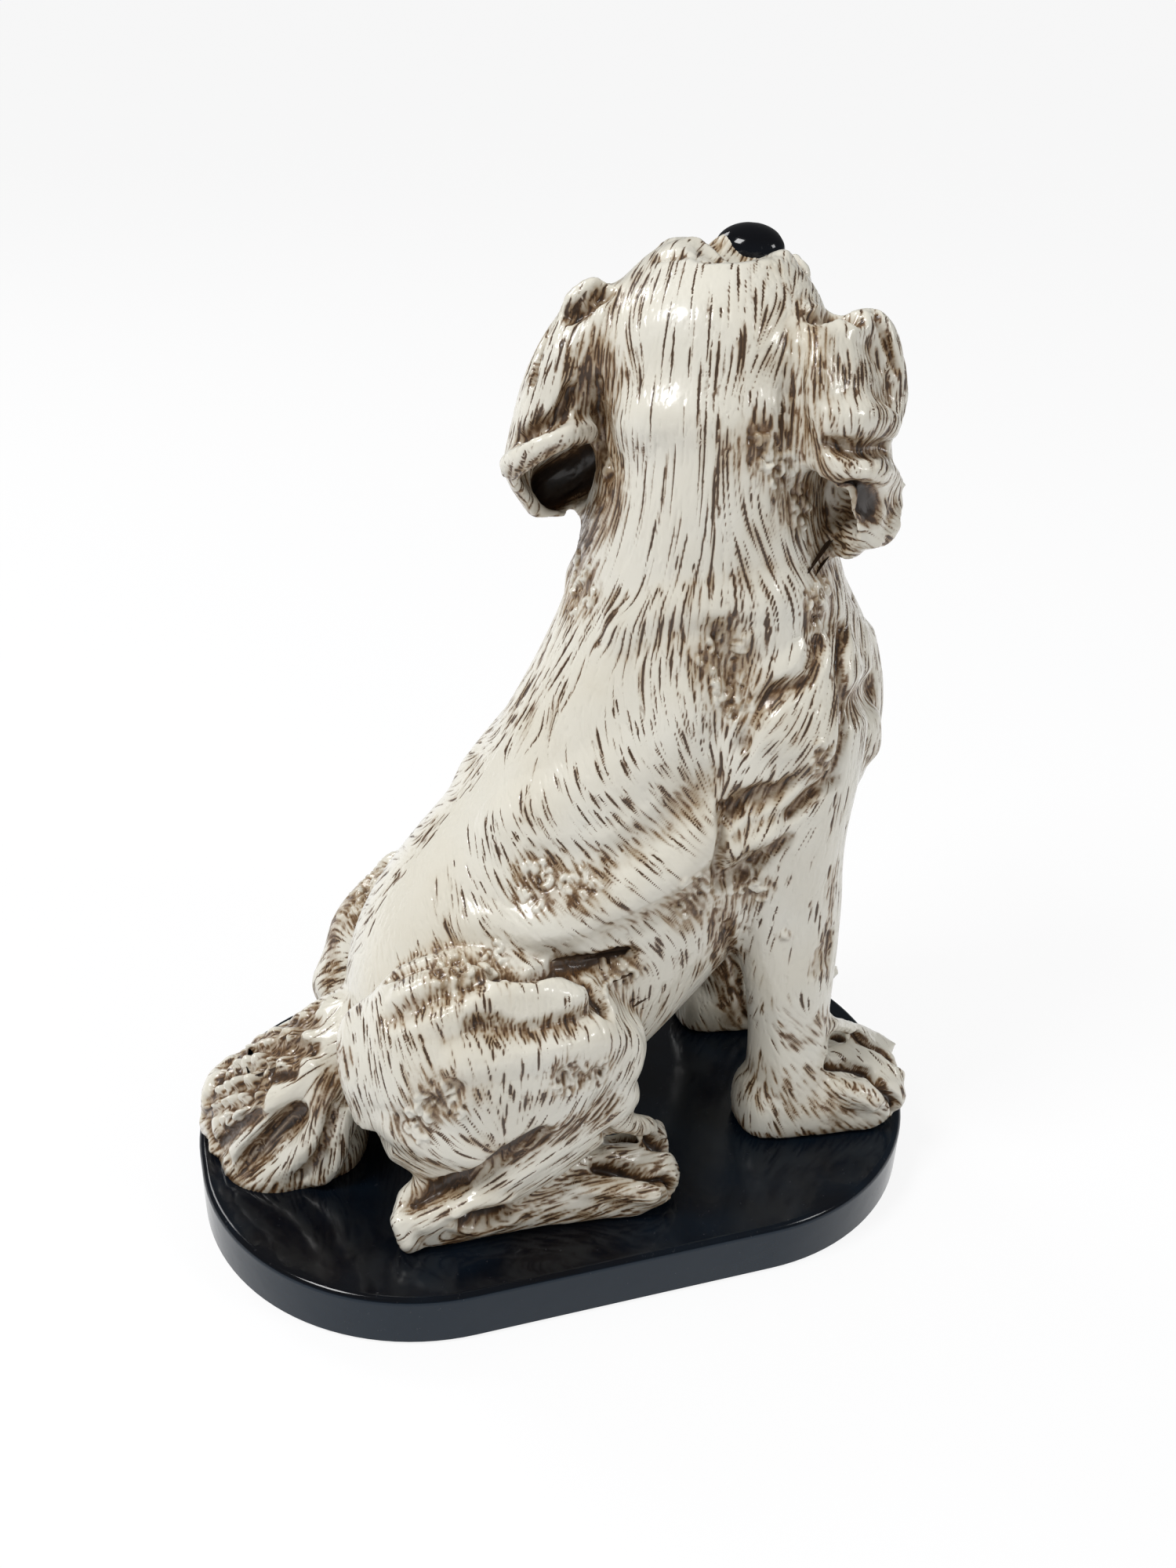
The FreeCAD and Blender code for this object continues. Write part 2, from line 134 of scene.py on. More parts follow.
class Nodes:
    """The nodes of one material, or of the sky."""

    def __init__(self, owner: bpy.types.Material | bpy.types.World) -> None:
        """Empties the owner's node tree.

        Args:
            owner: the new material or world.
        """
        self.owner = owner
        owner.use_nodes = True
        self.tree = owner.node_tree
        self.tree.nodes.clear()

    def make(self, kind: str, values: dict, output: int | str = 0, **settings: object) -> Sock:
        """Adds one node.

        Args:
            kind: the node's type, without its prefix.
            values: the sockets' values or links, by name or number.
            output: which output is used.
            settings: what is set on the node itself, such as a Math node's operation.

        Returns:
            The node's output.
        """
        node = self.tree.nodes.new(f"ShaderNode{kind}")
        for name, value in settings.items():
            setattr(node, name, value)
        for name, value in values.items():
            if isinstance(value, Sock):
                self.tree.links.new(value.socket, node.inputs[name])
            else:
                node.inputs[name].default_value = value
        return Sock(self, node.outputs[output])

    def place(self) -> Sock:
        """Where the point is on the object, in metres."""
        return self.make("TexCoord", {}, "Object")

    def noise(self, size_mm: float, detail: float = 2.0, roughness: float = 0.5) -> Sock:
        """Cloudy noise whose patches are about size_mm across."""
        return self.make("TexNoise", {
            "Vector": self.place(), "Scale": 1 / (size_mm * MM), "Detail": detail, "Roughness": roughness,
        })

    def number(self, name: str) -> Sock:
        """A number that the mesh holds at each point."""
        return self.make("Attribute", {}, "Fac", attribute_name=name)

    def blend(self, share: "Sock | float", first: "Sock | tuple", second: "Sock | tuple") -> Sock:
        """A colour between two, at the given share of the second."""
        return self.make("Mix", {SHARE: share, FIRST: first, SECOND: second}, BLENDED, data_type="RGBA")

    def mixed(self, share: Sock, first: Sock, second: Sock) -> Sock:
        """A shader between two, at the given share of the second."""
        return self.make("MixShader", {0: share, 1: first, 2: second})

    def seen_by(self, kind: str) -> Sock:
        """1 for rays of that kind, such as Camera, and 0 for others."""
        return self.make("LightPath", {}, f"Is {kind} Ray")

    def end(self, surface: Sock, kind: str = "Material") -> bpy.types.Material | bpy.types.World:
        """Links the last shader to an output node.

        Args:
            surface: the last shader.
            kind: what the output is for.

        Returns:
            The finished material or world.
        """
        out = self.tree.nodes.new(f"ShaderNodeOutput{kind}")
        self.tree.links.new(surface.socket, out.inputs["Surface"])
        return self.owner

    def finish(self, values: dict) -> bpy.types.Material:
        """Ends the material with one Principled shader.

        Args:
            values: the shader's sockets.

        Returns:
            The finished material.
        """
        return self.end(self.make("BsdfPrincipled", values))


def colour(red: float, green: float, blue_cast_and_reflection: float) -> tuple[float, float, float, float]:
    """A colour as a screen shows it, from 0 to 255, turned into what a shader takes."""
    shares = [value / 255 for value in (red, green, blue_cast_and_reflection)]
    # The screen's standard curve: a straight foot and a power above it
    return (*[s / 12.92 if s <= 0.04045 else ((s + 0.055) / 1.055) ** 2.4 for s in shares], 1.0)


# Finishes


@dataclass(frozen=True)
class IvoryGlaze:
    """Glossy ivory glaze over washed-in brown that has stayed in every groove and hollow, with painted shade
    in the deepest and the wide hollows and on faces that turn downward.
    """

    ivory: tuple = colour(226, 223, 212)
    cream: tuple = colour(214, 204, 180)
    tan: tuple = colour(144, 114, 68)
    brown: tuple = colour(116, 80, 42)
    umber: tuple = colour(62, 44, 28)
    deep_shade: tuple = colour(38, 29, 23)
    gloss: float = 0.24

    def material(self) -> bpy.types.Material:
        """Makes the finish.

        Returns:
            The material, which reads the mesh's numbers hair, wash_and_shade and tint.
        """
        n = Nodes(bpy.data.materials.new("ivory_glaze"))
        hair, wash_and_shade, tint = n.number("hair"), n.number("wash_and_shade"), n.number("tint")
        cloud = n.noise(30, 3)
        mottle = n.noise(5, 3, 0.6)
        grain = n.noise(1.1, 2, 0.6)
        # wash_and_shade brings the washed-in brown and the painted shade alike into the tan, brown and umber
        # layers
        pooled_and_shaded = (wash_and_shade + (mottle - 0.5) * 0.6 + (grain - 0.5) * 0.35).step(0.25, 1.1)
        stained_and_shaded = (wash_and_shade * 1.2 + tint * 0.85 + (cloud - 0.5) * 0.8 + (mottle - 0.5) * 0.3).step(0.1, 0.95)
        drawn = (hair * 1.3 + (grain - 0.5) * 0.4).step(0.28, 0.85)
        # Painted shade: where wash_and_shade passes about 1, in the deepest grooves and hollows, the colour
        # turns near-black
        deep = (wash_and_shade + (mottle - 0.5) * 0.4).step(0.95, 1.4)
        base = self.ivory
        for share, shade in (
            ((cloud - 0.25).clamped() * 0.8, self.cream),
            (stained_and_shaded * 0.75, self.tan),
            ((pooled_and_shaded * 1.4).clamped() * 0.85, self.brown),
            (pooled_and_shaded * pooled_and_shaded * 0.93, self.umber),
            ((drawn * 1.6).clamped() * 0.85, self.brown),
            (drawn * drawn * 0.92, self.umber),
            (deep * 0.9, self.deep_shade),
        ):
            base = n.blend(share, base, shade)
        rough = self.gloss + drawn * 0.25 + pooled_and_shaded * 0.12 + (mottle - 0.5) * 0.1
        relief = mottle * 0.5 + n.noise(1.8, 2) * 0.5
        bump = n.make("Bump", {"Strength": 0.3, "Distance": 0.4 * MM, "Height": relief})
        return n.finish({
            "Base Color": base, "Roughness": rough, "Normal": bump,
            "Coat Weight": 0.35, "Coat Roughness": 0.08, "IOR": 1.45,
        })


@dataclass(frozen=True)
class BlackGlaze:
    """Deep black glaze with a faint bluish cast, gathered a little unevenly, and upright walls painted bluer
    as a painted reflection of the pale surroundings.
    """

    name: str = "black_glaze"
    black: tuple = colour(11, 12, 16)
    blue_cast_and_reflection: tuple = colour(14, 31, 45)
    gloss: float = 0.1

    def material(self) -> bpy.types.Material:
        """Makes the finish.

        Returns:
            The material.
        """
        n = Nodes(bpy.data.materials.new(self.name))
        cloud = n.noise(38, 3)
        speck = n.noise(1.6, 2, 0.7)
        facing = n.make("NewGeometry", {}, "Normal")
        # Painted reflection: upright walls are painted bluer, standing for the pale surroundings mirrored in
        # them
        wall = (1 - n.make("SeparateXYZ", {"Vector": facing}, "Z")).step(0.3, 0.8)
        base = n.blend((cloud.step(0.35, 0.75) * 0.5).larger(wall), self.black, self.blue_cast_and_reflection)
        base = n.blend(speck.step(0.66, 0.8) * 0.35, base, colour(72, 72, 74))
        rough = self.gloss + (cloud - 0.4).clamped() * 0.25 + speck.step(0.6, 0.8) * 0.2
        height = cloud * 0.8 + n.noise(9, 2) * 0.5
        bump = n.make("Bump", {"Strength": 0.25, "Distance": 0.8 * MM, "Height": height})
        return n.finish({
            "Base Color": base, "Roughness": rough, "Normal": bump, "IOR": 1.36,
        })


@dataclass(frozen=True)
class EyeGlaze:
    """A painted eye under clear glaze: black pupil, dark brown iris, and brown shade at the lids.

    Its gaze is forward, outward and up of the head.
    """

    pupil: tuple = colour(8, 7, 7)
    iris: tuple = colour(74, 42, 20)
    white: tuple = colour(120, 104, 84)
    pupil_radius: float = 2.6
    iris_radius: float = 4.9
    gaze: tuple = (0.75, 0.6, 0.25)

    def material(self, name: str, front: Vector) -> bpy.types.Material:
        """Makes the finish of one eye.

        Args:
            name: the material's name.
            front: the middle of the pupil on the eye's surface, in metres.

        Returns:
            The material.
        """
        n = Nodes(bpy.data.materials.new(name))
        away = n.make("VectorMath", {0: n.place(), 1: front}, "Value", operation="DISTANCE")
        flecks = (n.noise(0.9, 2) - 0.5) * (0.8 * MM)
        edge = 0.5 * MM
        pupil, iris = self.pupil_radius * MM, self.iris_radius * MM
        base = n.blend((away + flecks).step(pupil, pupil + edge), self.pupil, self.iris)
        base = n.blend(away.step(iris, iris + edge), base, self.white)
        return n.finish({"Base Color": base, "Roughness": 0.06, "Coat Weight": 0.8, "Coat Roughness": 0.03})


@dataclass(frozen=True)
class PaleFloor:
    """A pale floor that shows white to the camera and in reflections, and keeps the figure's shadow."""

    pale: tuple = colour(236, 236, 238)
    cool: tuple = colour(232, 233, 236)
    glow: float = 0.85
    brightness: float = 1.03

    def material(self) -> bpy.types.Material:
        """Makes the finish.

        Returns:
            The material.
        """
        n = Nodes(bpy.data.materials.new("pale_floor"))
        seen = n.seen_by("Camera").larger(n.seen_by("Glossy")).larger(n.seen_by("Transmission"))
        cast = n.blend(n.noise(400, 1).step(0.3, 0.7) * 0.5, self.pale, self.cool)
        lit = n.make("BsdfDiffuse", {"Color": cast})
        bright = n.make("Emission", {"Color": WHITE, "Strength": self.brightness})
        return n.end(n.mixed(seen * self.glow, lit, bright))


# The photograph's view


@dataclass(frozen=True)
class PhotoView:
    """Where the camera stood, in the figure's own millimetres and degrees."""

    place: tuple = (-129.3507, -396.4356, 382.9860)
    turn: float = -18.8647
    tilt: float = 29.4410
    roll: float = 2.4734
    focal_px: float = 1929.645
    wide_px: float = 1500.0
    high_px: float = 2000.0
    film: float = 36.0

    def axes(self) -> np.ndarray:
        """The camera's right, up and backward directions, as rows."""
        turn, tilt, roll = np.radians([self.turn, self.tilt, self.roll])
        back = np.array([np.sin(turn) * np.cos(tilt), -np.cos(turn) * np.cos(tilt), np.sin(tilt)])
        right = np.cross(-back, (0.0, 0.0, 1.0))
        right /= np.linalg.norm(right)
        up = np.cross(right, -back)
        rolled_right = right * np.cos(roll) + up * np.sin(roll)
        rolled_up = up * np.cos(roll) - right * np.sin(roll)
        return np.array([rolled_right, rolled_up, back])

    def ray(self, pixel: Pixel) -> np.ndarray:
        """The direction in which a pixel of the photograph looks."""
        right, up, back = self.axes()
        across, down = pixel[0] - self.wide_px / 2, pixel[1] - self.high_px / 2
        aim = right * across - up * down - back * self.focal_px
        return aim / np.linalg.norm(aim)

    def add_camera(self) -> None:
        """Sets up the scene's camera."""
        data = bpy.data.cameras.new("camera")
        data.sensor_width = self.film
        data.lens = self.focal_px / self.high_px * self.film
        data.clip_start = 0.01
        camera = linked("camera", data)
        turned = Matrix([list(row) for row in self.axes().T]).to_4x4()
        camera.matrix_world = Matrix.Translation(Vector(self.place) * MM) @ turned
        bpy.context.scene.camera = camera


class Side(Enum):
    """Which sides of the figure a form is worked on."""

    SEEN = "only where the camera sees it"
    BODY = "also mirrored over the body's middle"


SEEN, BODY = Side.SEEN, Side.BODY


@dataclass(frozen=True)
class HeadPose:
    """How the head sits: its middle, and how far it is turned and lifted."""

    middle: tuple = (38.0, 1.8, 278.6)
    yaw: float = 56.0
    pitch: float = 28.0

    def axes(self) -> np.ndarray:
        """The head's forward, left and up directions, as rows."""
        yaw, pitch = np.radians([self.yaw, self.pitch])
        forward = np.array([np.cos(yaw) * np.cos(pitch), np.sin(yaw) * np.cos(pitch), np.sin(pitch)])
        left = np.array([-np.sin(yaw), np.cos(yaw), 0.0])
        return np.array([forward, left, np.cross(forward, left)])

    def point(self, local: Sequence[float]) -> np.ndarray:
        """A place given as forward, left and up of the head's middle."""
        return np.array(self.middle) + np.array(local) @ self.axes()


VIEW = PhotoView()
HEAD = HeadPose()


def both_sides(places: Line, on_head: bool) -> list[np.ndarray]:
    """A line and its mirror image.

    Args:
        places: its points in millimetres, or as forward, left and up of the head's middle.
        on_head: whether it is the latter.

    Returns:
        The line on the left and on the right, in millimetres.
    """
    lines = [np.array(places) * (1.0, side, 1.0) for side in SIDES]
    if on_head:
        lines = [np.array([HEAD.point(place) for place in line]) for line in lines]
    return lines


# Clay


def only(obj: bpy.types.Object) -> None:
    """Deselects everything and makes obj the one active, selected object."""
    bpy.ops.object.select_all(action="DESELECT")
    obj.select_set(True)
    bpy.context.view_layer.objects.active = obj


def apply(obj: bpy.types.Object, kind: str, **settings: object) -> None:
    """Adds one modifier and applies it.

    Args:
        obj: the object.
        kind: the modifier's type.
        settings: its settings.
    """
    modifier = obj.modifiers.new(kind.lower(), kind)
    for name, value in settings.items():
        setattr(modifier, name, value)
    only(obj)
    bpy.ops.object.modifier_apply(modifier=modifier.name)


def linked(name: str, data: bpy.types.ID) -> bpy.types.Object:
    """A new object of the scene that shows the data."""
    obj = bpy.data.objects.new(name, data)
    bpy.context.scene.collection.objects.link(obj)
    return obj


def numbers_of(items: bpy.types.bpy_prop_collection, name: str, kind: type, wide: int = 1) -> np.ndarray:
    """Reads one property of many items at once.

    Args:
        items: the items, such as a mesh's points.
        name: the property.
        kind: the numbers' type.
        wide: how many numbers each item has.

    Returns:
        The numbers, in rows of that many when it is more than one.
    """
    flat = np.empty(len(items) * wide, kind)
    items.foreach_get(name, flat)
    return flat.reshape(-1, wide) if wide > 1 else flat


def search_tree(points: np.ndarray) -> KDTree:
    """A tree that finds the nearest of the points."""
    tree = KDTree(len(points))
    for number, point in enumerate(points.tolist()):
        tree.insert(point, number)
    tree.balance()
    return tree


def unit(vectors: np.ndarray) -> np.ndarray:
    """Vectors at length one."""
    return vectors / np.maximum(np.linalg.norm(vectors, axis=1, keepdims=True), 1e-9)


def stacked(found: Iterable[tuple[np.ndarray, np.ndarray]]) -> tuple[np.ndarray, np.ndarray]:
    """Pairs of a place and a direction, as one array of each."""
    places, ways = zip(*found)
    return np.array(places), np.array(ways)


def copy_of(nodes: Sequence[str], name: str) -> bpy.types.Object:
    """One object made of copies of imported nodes, merged by distance.

    Args:
        nodes: the nodes' names.
        name: the new object's name.

    Returns:
        The joined copy.
    """
    copies = [linked(name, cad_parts[node].data.copy()) for node in nodes]
    only(copies[0])
    for copy in copies:
        copy.select_set(True)
    bpy.ops.object.join()
    bpy.ops.object.mode_set(mode="EDIT")
    bpy.ops.mesh.select_all(action="SELECT")
    bpy.ops.mesh.remove_doubles(threshold=MERGED)
    bpy.ops.object.mode_set(mode="OBJECT")
    copies[0].data.materials.clear()
    return copies[0]


def closest_to_ray(points: np.ndarray, eye: np.ndarray, way: np.ndarray) -> tuple[int, float]:
    """Which of the points is closest to a ray, and how far along the ray it is."""
    out = points - eye
    along = out @ way
    found = int(np.argmin(np.linalg.norm(out - along[:, None] * way, axis=1)))
    return found, along[found]


def resampled(line: np.ndarray, step: float) -> np.ndarray:
    """A line with points every step millimetres.

    Args:
        line: the line's own points.
        step: the distance between the new points.

    Returns:
        The new points, at least two.
    """
    gaps = np.linalg.norm(np.diff(line, axis=0), axis=1)
    along = np.concatenate([[0.0], np.cumsum(gaps)])
    count = max(2, int(round(along[-1] / step)) + 1)
    places = np.linspace(0.0, along[-1], count)
    return np.stack([np.interp(places, along, line[:, axis]) for axis in range(3)], 1)


def far_from(points: np.ndarray, line: np.ndarray) -> np.ndarray:
    """How far each point is from a line of points."""
    best = np.full(len(points), np.inf)
    for start, end in zip(line[:-1], line[1:]):
        run = end - start
        share = np.clip((points - start) @ run / max(run @ run, 1e-9), 0.0, 1.0)
        best = np.minimum(best, np.linalg.norm(points - start - share[:, None] * run, axis=1))
    return best


def roll_of_clay(path: Sequence[tuple]) -> bpy.types.Object:
    """A round roll whose thickness changes along a curve.

    Args:
        path: (point, radius) pairs in millimetres.

    Returns:
        The roll, as a mesh.
    """
    bpy.ops.object.select_all(action="DESELECT")
    bpy.ops.curve.primitive_nurbs_path_add(location=(0.0, 0.0, 0.0))
    obj = bpy.context.object
    curve = obj.data
    curve.splines.clear()
    spline = curve.splines.new("NURBS")
    spline.points.add(len(path) - 1)
    for knot, (point, radius) in zip(spline.points, path):
        knot.co = (*(np.array(point) * MM), 1.0)
        knot.radius = radius
    spline.order_u = 3
    spline.use_endpoint_u = True
    curve.dimensions = "3D"
    curve.bevel_depth = MM
    curve.bevel_resolution = 3
    curve.use_fill_caps = True
    bpy.ops.object.convert(target="MESH")
    return bpy.context.object


@dataclass(frozen=True)
class Roll:
    """A roll of clay laid on the figure: (pixel x, pixel y, lift, radius) along it, in millimetres."""

    path: tuple
    both: bool = False


@dataclass(frozen=True)
class Relief:
    """One fold, ridge or groove, drawn as a line of pixels of the photograph.

    Height is in millimetres and is negative for a groove; wash_and_shade is how much washed-in brown stays
    in it, and from about 1 upward how much painted shade darkens it to near-black. A form that is carried on
    runs down over the toes to the ground.
    """

    width: float
    height: float
    wash_and_shade: float
    line: tuple
    side: Side = Side.BODY
    carried_on: bool = False


class Skin:
    """A mesh of four-sided faces as arrays in millimetres, while it is worked."""

    # How far a form reaches to each side, as a share of its width
    REACH = 0.925
    # How far the skin may face away from a form that it takes part in, as a cosine
    TURNED_AWAY = -0.15
    # How much of what smoothing takes from the shape is given back
    SWELL = 1.03

    def __init__(self, obj: bpy.types.Object) -> None:
        """Reads the object's mesh.

        Args:
            obj: an object whose faces all have four corners.
        """
        self.obj = obj
        self.read()

    def read(self) -> None:
        """Takes the points and faces from the mesh."""
        mesh = self.obj.data
        self.points = numbers_of(mesh.vertices, "co", np.float32, 3).astype(np.float64) / MM
        self.faces = numbers_of(mesh.loops, "vertex_index", np.int32).reshape(-1, 4)
        self.turn_normals()
        self.tree = None

    def write(self) -> None:
        """Puts the points back into the mesh."""
        self.obj.data.vertices.foreach_set("co", (self.points * MM).astype(np.float32).ravel())
        self.obj.data.update()

    def turn_normals(self) -> None:
        """Works out the direction in which each point faces."""
        a, b, c, d = (self.points[self.faces[:, k]] for k in range(4))
        normal = np.cross(c - a, d - b)
        summed = self.gathered(self.faces.ravel(), np.repeat(normal, 4, axis=0))
        self.normals = summed / np.maximum(np.linalg.norm(summed, axis=1, keepdims=True), 1e-12)

    def gathered(self, targets: np.ndarray, values: np.ndarray) -> np.ndarray:
        """Adds each row of values to the point that it belongs to."""
        count = len(self.points)
        return np.stack([np.bincount(targets, values[:, k], count) for k in range(values.shape[1])], 1)

    def smoothed(self, values: np.ndarray, times: int) -> np.ndarray:
        """Averages values with those of the neighbouring points, several times."""
        here = self.faces.ravel()
        there = np.roll(self.faces, -1, axis=1).ravel()
        count = np.maximum(np.bincount(here, minlength=len(self.points)), 1)[:, None]
        for _ in range(times):
            values = 0.5 * values + 0.5 * self.gathered(here, values[there]) / count
        return values

    def evened(self, numbers: np.ndarray, times: int) -> np.ndarray:
        """The same for one number at each point."""
        return self.smoothed(numbers[:, None], times)[:, 0]

    def relax(self, times: int) -> None:
        """Smooths the shape itself, without the shrinking that plain smoothing gives."""
        for _ in range(times):
            self.points = self.smoothed(self.points, 1)
            self.points += self.SWELL * (self.points - self.smoothed(self.points, 1))
        self.turn_normals()

    def _faces_tree(self) -> BVHTree:
        """The faces, as they were when one was first looked for since the mesh was last read."""
        if self.tree is None:
            self.tree = BVHTree.FromPolygons(self.points.tolist(), self.faces.tolist())
        return self.tree

    def nearest(self, point: np.ndarray) -> tuple[np.ndarray, np.ndarray]:
        """The nearest place on the skin, and its normal."""
        where, normal, _, _ = self._faces_tree().find_nearest(Vector(point))
        return np.array(where), np.array(normal)

    def landed(self, pixel: Pixel) -> tuple[np.ndarray, np.ndarray]:
        """The place on the skin that a pixel of the photograph shows, and its normal.

        A pixel beside the figure gives the nearest place of its outline.
        """
        eye = np.array(VIEW.place)
        way = VIEW.ray(pixel)
        where, normal, _, _ = self._faces_tree().ray_cast(Vector(eye), Vector(way))
        if where is not None:
            return np.array(where), np.array(normal)
        found, _ = closest_to_ray(self.points, eye, way)
        return self.points[found], self.normals[found]

    def laid(self, line: Line, side: Side) -> list[tuple[np.ndarray, np.ndarray]]:
        """A pixel line as lines on the skin.

        Args:
            line: the pixels.
            side: which sides of the figure it is wanted on.

        Returns:
            For each side, the points and their normals.
        """
        if len(line) > 1:
            flat = np.array([(*pixel, 0.0) for pixel in line], float)
            line = resampled(flat, PIXEL_STEP)[:, :2]
        lines = [stacked(self.landed(pixel) for pixel in line)]
        if side is Side.BODY:
            lines.append(stacked(self.nearest(point) for point in lines[0][0] * (1.0, -1.0, 1.0)))
        return lines

    def near(self, line: np.ndarray, reach: float) -> np.ndarray:
        """The numbers of the points within reach of a line's box."""
        low = line.min(axis=0) - reach
        high = line.max(axis=0) + reach
        return np.flatnonzero(np.all((self.points > low) & (self.points < high), axis=1))

    def press(self, line: np.ndarray, facing: np.ndarray, width: float,
              height: float) -> tuple[np.ndarray, np.ndarray]:
        """Raises or lowers the skin along a line.

        Args:
            line: the line's points.
            facing: the way the skin faces along the line.
            width: how wide the form is at half its height.
            height: how far the skin moves outward.

        Returns:
            The numbers of the points in reach and the form's strength there, from 0 to 1.
        """
        reach = width * self.REACH
        near = self.near(line, reach)
        share = np.clip(1.0 - (far_from(self.points[near], line) / reach) ** 2, 0.0, 1.0) ** 2
        towards = facing.mean(axis=0)
        share = share * (self.normals[near] @ towards > self.TURNED_AWAY)
        self.points[near] += self.normals[near] * (height * share)[:, None]
        return near, share


# Tables of the figure's forms, in pixels of the photograph

ROLLS = (
    # The left ear's turned rim, its lower edge and its root, and the clay that joins it to the neck
    Roll(((652, 604, 0, 2.2), (672, 584, 1, 3.2), (700, 563, 1, 3.4), (728, 552, 0.5, 3.0),
          (754, 548, 0, 2.2))),
    Roll(((652, 606, 0, 2.2), (664, 628, 0, 2.2), (692, 648, 0, 2.0), (724, 659, 0, 1.6))),
    Roll(((716, 402, -1, 2.5), (738, 378, -0.5, 4.0), (766, 366, 0, 3.0))),
    Roll(((770, 385, 0, 3.0), (762, 440, 0, 4.0), (757, 500, 0, 4.0), (762, 560, 0, 3.0),
          (768, 590, -1, 2.0))),
    # The right ear's upper roll, wave, turned rim and lower lobe, and the clay that joins it to the neck
    Roll(((1072, 424, -2, 4.5), (1100, 412, -1, 5), (1120, 418, -1, 5), (1133, 452, 0, 4.5),
          (1141, 496, 0, 4.5), (1137, 530, 0, 4.2), (1128, 558, -1, 3.0))),
    Roll(((1064, 548, -1, 3.0), (1100, 538, 0, 4.0), (1140, 542, 0, 3.2))),
    Roll(((1050, 580, -1, 2.4), (1068, 594, 0.5, 3.0), (1090, 602, 1, 3.4), (1116, 604, 1, 3.4),
          (1140, 606, 0, 3.0), (1148, 626, 0, 2.0))),
    Roll(((1068, 680, 0, 2.5), (1100, 688, 0, 3.4), (1130, 686, 0, 3.2), (1144, 660, 0, 2.4),
          (1146, 632, 0, 1.8))),
    Roll(((1046, 420, 0, 4.0), (1044, 470, 0, 4.5), (1046, 530, 0, 4.0), (1052, 570, -1, 2.5))),
    # The tail's core, the locks beyond it and the locks before it
    Roll(((409, 1352, 0, 5), (384, 1384, 1, 5), (348, 1401, 1.5, 5), (309, 1419, 1, 4.4),
          (280, 1444, 0, 3.6), (266, 1471, 0, 1.8))),
    Roll(((401, 1324, 0, 2), (370, 1318, 1, 2.4), (337, 1322, 1, 2.4), (305, 1336, 0, 2),
          (285, 1352, 0, 1.2))),
    Roll(((398, 1354, 0, 2), (360, 1353, 1, 2.6), (326, 1364, 1, 2.6), (295, 1378, 0, 2),
          (268, 1390, 0, 1.2))),
    Roll(((380, 1380, 0, 2), (350, 1380, 1, 2.4), (320, 1390, 1, 2.4), (285, 1400, 0, 2),
          (258, 1408, 0, 1.2))),
    Roll(((322, 1408, 0, 2.4), (286, 1416, 0, 2.4), (264, 1426, 0, 2), (252, 1436, 0, 1.2))),
    Roll(((352, 1418, 0, 3), (325, 1438, 1, 3.4), (302, 1464, 0.5, 3), (286, 1492, 0, 1.4))),
    Roll(((423, 1376, 0, 4.5), (409, 1419, 1, 5.2), (398, 1455, 1.5, 4.8), (375, 1484, 0.5, 3.6),
          (352, 1500, 0, 1.6))),
    Roll(((436, 1410, 0, 4), (434, 1456, 0, 4.2), (424, 1494, 0, 3.4), (406, 1513, 0, 1.6))),
    # Hock, shank and the toes of the hind foot and the forepaw, and their claws
    Roll(((506, 1548, -1, 4), (516, 1574, -0.5, 4.5), (526, 1598, 0, 3)), True),
    Roll(((540, 1566, -1, 2.6), (610, 1528, -1, 3), (690, 1482, -1, 3), (778, 1424, -1, 2.6)), True),
    Roll(((752, 1428, -1.5, 3), (805, 1431, -0.5, 4), (842, 1442, 0, 4)), True),
    Roll(((770, 1468, -1.5, 3.4), (822, 1471, -0.5, 4.2), (860, 1482, 0, 4)), True),
    Roll(((730, 1514, -1.5, 3.4), (790, 1511, -0.5, 4.4), (840, 1523, 0, 4.2)), True),
    Roll(((1061, 1305, -1, 2.4), (1096, 1312, 0, 3.4), (1138, 1340, 0, 3.4)), True),
    Roll(((1062, 1340, -1, 3), (1098, 1337, 0.5, 4.4), (1134, 1356, 0.5, 4.6), (1146, 1378, 0, 3.8)), True),
    Roll(((1058, 1386, -1, 3.4), (1094, 1388, 0.5, 4.8), (1120, 1406, 0.5, 4.4)), True),
    Roll(((1132, 1404, 0, 1.8), (1142, 1419, 0, 0.7)), True),
    Roll(((1148, 1386, 0, 1.8), (1155, 1399, 0, 0.7)), True),
    Roll(((848, 1450, 0, 1.6), (858, 1458, 0, 0.7)), True),
    Roll(((862, 1486, 0, 1.6), (870, 1495, 0, 0.7)), True),
    Roll(((842, 1526, 0, 1.7), (852, 1536, 0, 0.7)), True),
)

# Mounds of clay under the forms: the middle and the half sizes of each, in millimetres
MOUNDS = (((-99, -3, 20), (20, 19, 15)), ((-84, 4, 22), (16, 24, 18)))

# Bands with little or no hair: width, share of hair kept, and the line
BARE = (
    (8, 0.12, ((800, 820), (700, 930), (600, 1030), (520, 1130), (462, 1240)), SEEN),
    (12, 0.5, ((872, 400), (868, 520), (862, 620), (850, 700)), SEEN),
    (9, 0.4, ((600, 1350), (680, 1340), (770, 1335)), BODY),
    (8, 0.4, ((520, 1275), (580, 1250), (640, 1268), (720, 1262)), BODY),
    (8, 0.45, ((1030, 1090), (1015, 1180), (1005, 1290)), BODY),
    (9, 0.2, ((730, 1185), (820, 1150), (890, 1080)), BODY),
    (9, 0.25, ((600, 1210), (680, 1190)), BODY),
    (8, 0.2, ((1010, 800), (1015, 835)), BODY),
    (9, 0.1, ((400, 1372), (338, 1391), (290, 1435)), SEEN),
    (8, 0.3, ((560, 1120), (500, 1210)), SEEN),
)

